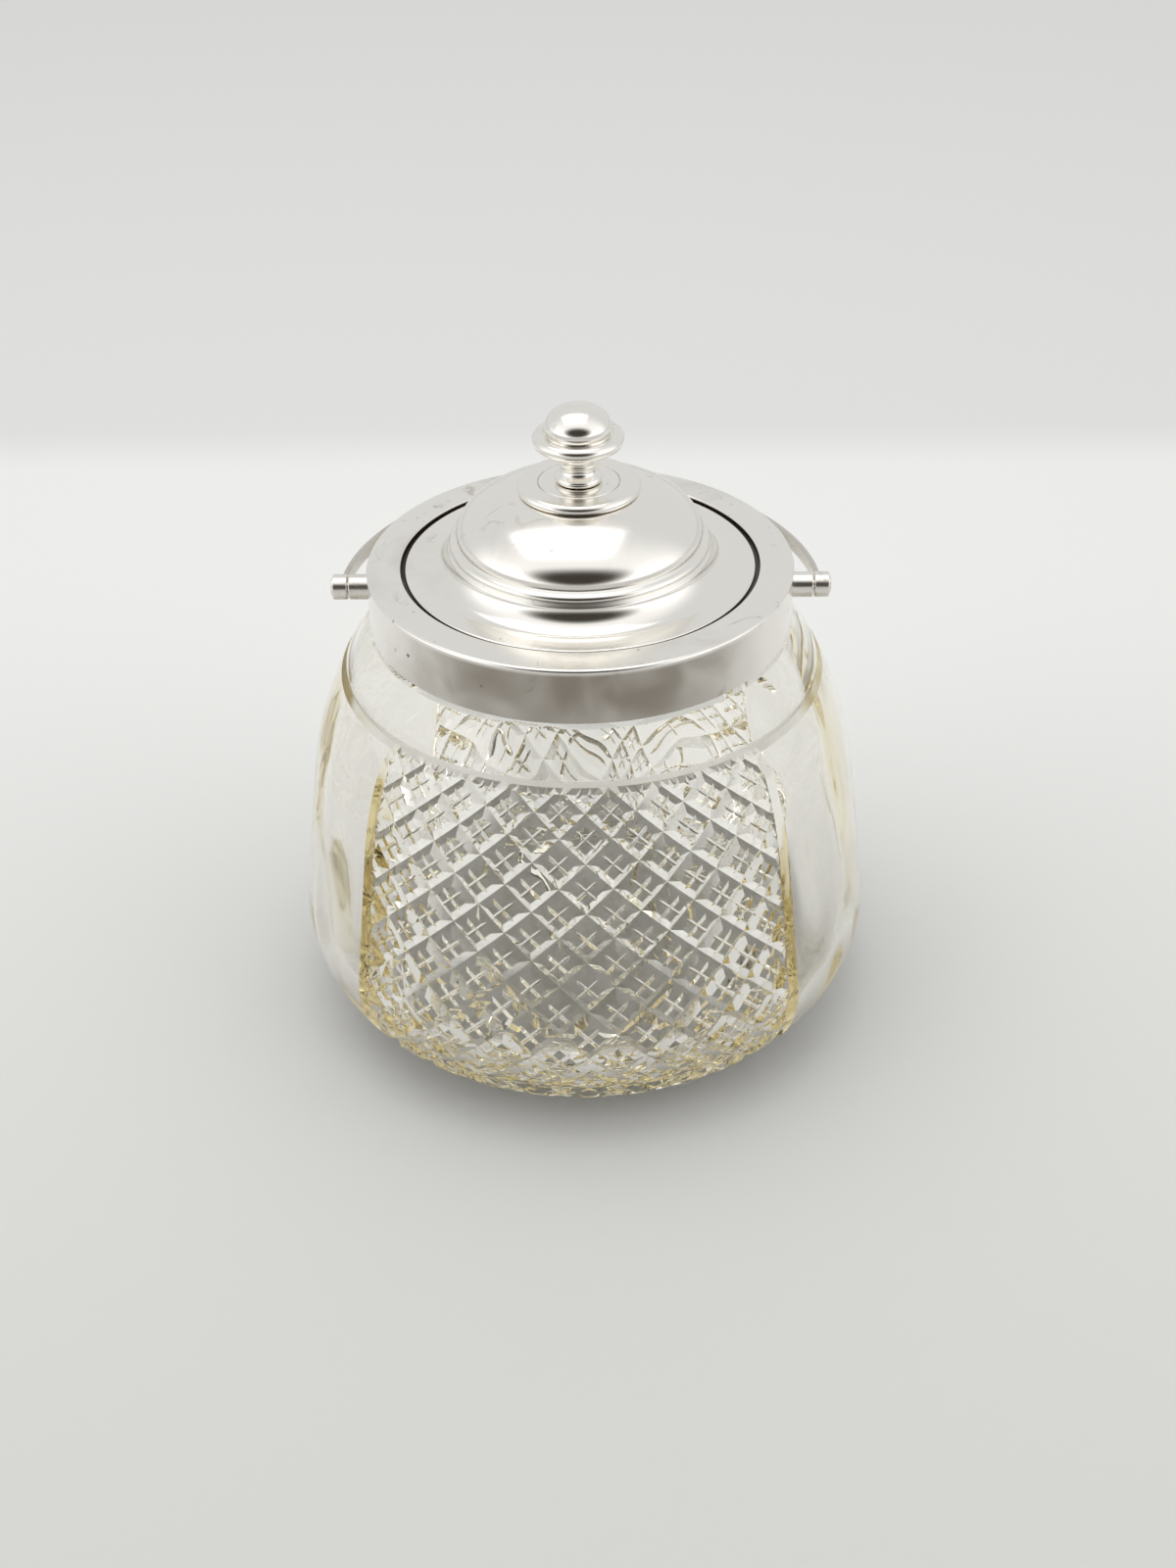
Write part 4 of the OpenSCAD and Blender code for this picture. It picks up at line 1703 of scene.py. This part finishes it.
# ---------------------------------------------------------------- the photograph


@dataclass(frozen=True)
class PaleFloor(Finish):
    """The matt pale table, which turns a little greyer behind the jar, and darker in front of it
    with painted shade.

    Attributes:
        table: its colour at the jar.
        back: its colour far behind.
        seam: the depths between which it turns greyer behind, in metres.
        front: the painted shade's colour in front.
        front_shade_fall: the depths between which the painted shade darkens it towards the front.
        grain: its fine grain.
        grain_depth: how high that is, in metres.
        grain_share: how strongly it shows.
        matt: its roughness.
        matt_more: what the grain adds to that.
        shine: its specular level.
    """

    table: Colour = (0.89, 0.893, 0.882)
    back: Colour = (0.78, 0.785, 0.782)
    seam: tuple[float, float] = (0.315, 0.365)
    front: Colour = (0.70, 0.70, 0.685)
    front_shade_fall: tuple[float, float] = (-0.30, 0.25)
    grain: Pattern = Pattern(900.0, 3.0, 0.6)
    grain_depth: float = 0.00002
    grain_share: float = 0.3
    matt: float = 0.62
    matt_more: float = 0.1
    shine: float = 0.25

    def fill(self, recipe: Recipe) -> None:
        """Writes the nodes.

        Args:
            recipe: the material's tree.
        """
        depth = recipe.place().part("Y")
        pale = recipe.blend(depth.between(*self.seam), self.table, self.back)
        # Painted shade: the table darkens towards the camera.
        pale = recipe.blend(1.0 - depth.between(*self.front_shade_fall), pale, self.front)
        grain = recipe.noise(self.grain)
        recipe.surface({"Base Color": pale, "Roughness": self.matt + grain * self.matt_more,
                        "Specular IOR Level": self.shine,
                        "Normal": recipe.bump(grain, self.grain_depth, self.grain_share)})


@dataclass(frozen=True)
class Room:
    """The light all round, with a dark patch near the camera for the silver to mirror.

    Attributes:
        sky: the light's colour from the side.
        zenith: its colour from overhead.
        sky_rise: the heights of a ray's direction between which one turns into the other.
        behind: its colour from behind the jar.
        behind_from: how far to the back a ray points where that starts and where it is full.
        patch_at: the direction in which the dark patch lies.
        patch: its colour.
        patch_wide: the share of a ray's sideways part that counts, which widens the patch.
        patch_edge: the cosines between which it turns dark.
        backcloth: what the camera sees past the table.
    """

    sky: Colour = (1.49, 1.48, 1.46)
    zenith: Colour = (1.05, 1.05, 1.04)
    sky_rise: tuple[float, float] = (-0.05, 0.8)
    behind: Colour = (0.75, 0.755, 0.75)
    behind_from: tuple[float, float] = (-0.25, 0.45)
    patch_at: tuple[float, float, float] = (0.0, -0.44, 0.21)
    patch: Colour = (0.05, 0.042, 0.035)
    patch_wide: float = 0.6
    patch_edge: tuple[float, float] = (0.80, 0.97)
    backcloth: Colour = (0.72, 0.725, 0.72)

    def build(self) -> None:
        """Writes the world's nodes."""
        world = bpy.data.worlds.new("room")
        world.use_nodes = True
        bpy.context.scene.world = world
        recipe = Recipe(world.node_tree)
        ray = recipe.node("ShaderNodeTexCoord", {}, {}, "Generated")
        light = recipe.blend(ray.part("Z").between(*self.sky_rise), self.sky, self.zenith)
        light = recipe.blend(ray.part("Y").between(*self.behind_from), light, self.behind)
        kind = "ShaderNodeVectorMath"
        wide = recipe.node(kind, {"operation": "MULTIPLY"},
                           {0: ray, 1: (self.patch_wide, 1.0, 1.0)}, "Vector")
        wide = recipe.node(kind, {"operation": "NORMALIZE"}, {0: wide}, "Vector")
        toward = recipe.node(kind, {"operation": "DOT_PRODUCT"},
                             {0: wide, 1: Vector(self.patch_at).normalized()}, "Value")
        light = recipe.blend(toward.between(*self.patch_edge), light, self.patch)
        seen = recipe.node("ShaderNodeLightPath", {}, {}, "Is Camera Ray")
        light = recipe.blend(seen, light, self.backcloth)
        shine = recipe.make("ShaderNodeBackground", {}, {"Color": light, "Strength": 1.0})
        out = recipe.make("ShaderNodeOutputWorld", {}, {})
        recipe.tree.links.new(shine.outputs[0], out.inputs["Surface"])


@dataclass
class Studio:
    """The table, the soft lamp, the room's light and the camera of the photograph.

    Attributes:
        reach: half the table's width, in metres.
        level: its height.
        lamp_size: the lamp's size, in metres.
        lamp_w: its power, in watts.
        lamp_colour: its colour.
        lamp_spot: where it hangs.
        lamp_tilt: how it is tilted about X and Y, in degrees.
        lens: the camera's focal length, in millimetres.
        film: the height of its film, in millimetres.
        nearest: where it starts to see, in metres.
        spot: where it stands, in metres, before the turn.
        pitch: how far it looks down, in degrees.
        roll: how far it leans.
        yaw: how far it looks to the right.
        turn: how far it is turned about the jar.
        bounces: how many times light may pass from face to face in the glass.
    """

    reach: float = 3.0
    level: float = -0.00005
    lamp_size: Point = (1.1, 0.8)
    lamp_w: float = 2.8
    lamp_colour: Colour = (1.0, 0.985, 0.96)
    lamp_spot: tuple[float, float, float] = (-0.15, 0.10, 1.25)
    lamp_tilt: Point = (-6.0, -6.0)
    lens: float = 45.0
    film: float = 36.0
    nearest: float = 0.01
    spot: tuple[float, float, float] = (0.0, -0.4394, 0.3645)
    pitch: float = 34.83
    roll: float = -0.85
    yaw: float = 0.151
    turn: float = 1.2
    bounces: int = 48

    def floor(self) -> None:
        """Lays the table."""
        bm = bmesh.new()
        bmesh.ops.create_grid(bm, x_segments=1, y_segments=1, size=self.reach,
                              matrix=Matrix.Translation((0, 0, self.level)))
        mesh = bpy.data.meshes.new("table")
        bm.to_mesh(mesh)
        bm.free()
        table = bpy.data.objects.new("table", mesh)
        bpy.context.scene.collection.objects.link(table)
        painted(table, PaleFloor())

    def lamp(self) -> None:
        """Hangs a soft lamp overhead."""
        lamp = bpy.data.lights.new("softbox", "AREA")
        lamp.shape = "RECTANGLE"
        lamp.size, lamp.size_y = self.lamp_size
        lamp.energy = self.lamp_w
        lamp.color = self.lamp_colour
        softbox = bpy.data.objects.new("softbox", lamp)
        softbox.location = self.lamp_spot
        softbox.rotation_euler = (*map(math.radians, self.lamp_tilt), 0)
        bpy.context.scene.collection.objects.link(softbox)

    def camera(self) -> None:
        """Sets the camera where the photograph was taken from."""
        pitch, yaw = math.radians(self.pitch), math.radians(self.yaw)
        ahead = Vector((math.sin(yaw) * math.cos(pitch), math.cos(yaw) * math.cos(pitch),
                        -math.sin(pitch)))
        right = Vector((math.cos(yaw), -math.sin(yaw), 0.0))
        up = right.cross(ahead)
        lean = math.radians(self.roll)
        across = right * math.cos(lean) + up * math.sin(lean)
        above = up * math.cos(lean) - right * math.sin(lean)
        axes = Matrix((across, above, -ahead)).transposed().to_4x4()
        about = Matrix.Rotation(math.radians(self.turn), 4, "Z")
        lens = bpy.data.cameras.new("camera")
        lens.sensor_fit = "VERTICAL"
        lens.sensor_height = self.film
        lens.lens = self.lens
        lens.clip_start = self.nearest
        camera = bpy.data.objects.new("camera", lens)
        camera.matrix_world = about @ Matrix.Translation(self.spot) @ axes
        bpy.context.scene.collection.objects.link(camera)
        bpy.context.scene.camera = camera

    def build(self) -> None:
        """Sets up the picture."""
        self.floor()
        self.lamp()
        Room().build()
        self.camera()
        bpy.context.scene.view_settings.view_transform = "Standard"
        rays = bpy.context.scene.cycles
        rays.max_bounces = rays.transmission_bounces = rays.glossy_bounces = self.bounces


def main() -> None:
    """Builds the jar piece by piece."""
    logging.basicConfig(level=logging.INFO, format="%(name)s: %(message)s")
    dressed(CutJar().build(), Body.JAR, CutGlass(), "glass_jar")
    painted(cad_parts["plaster_bed"], BeddingPlaster())
    for part in (Mount(), Pivots(), Handle(), Lid(), Knob(), Studio()):
        part.build()
        log.info("%s is built", type(part).__name__)


if __name__ == "__main__":
    main()
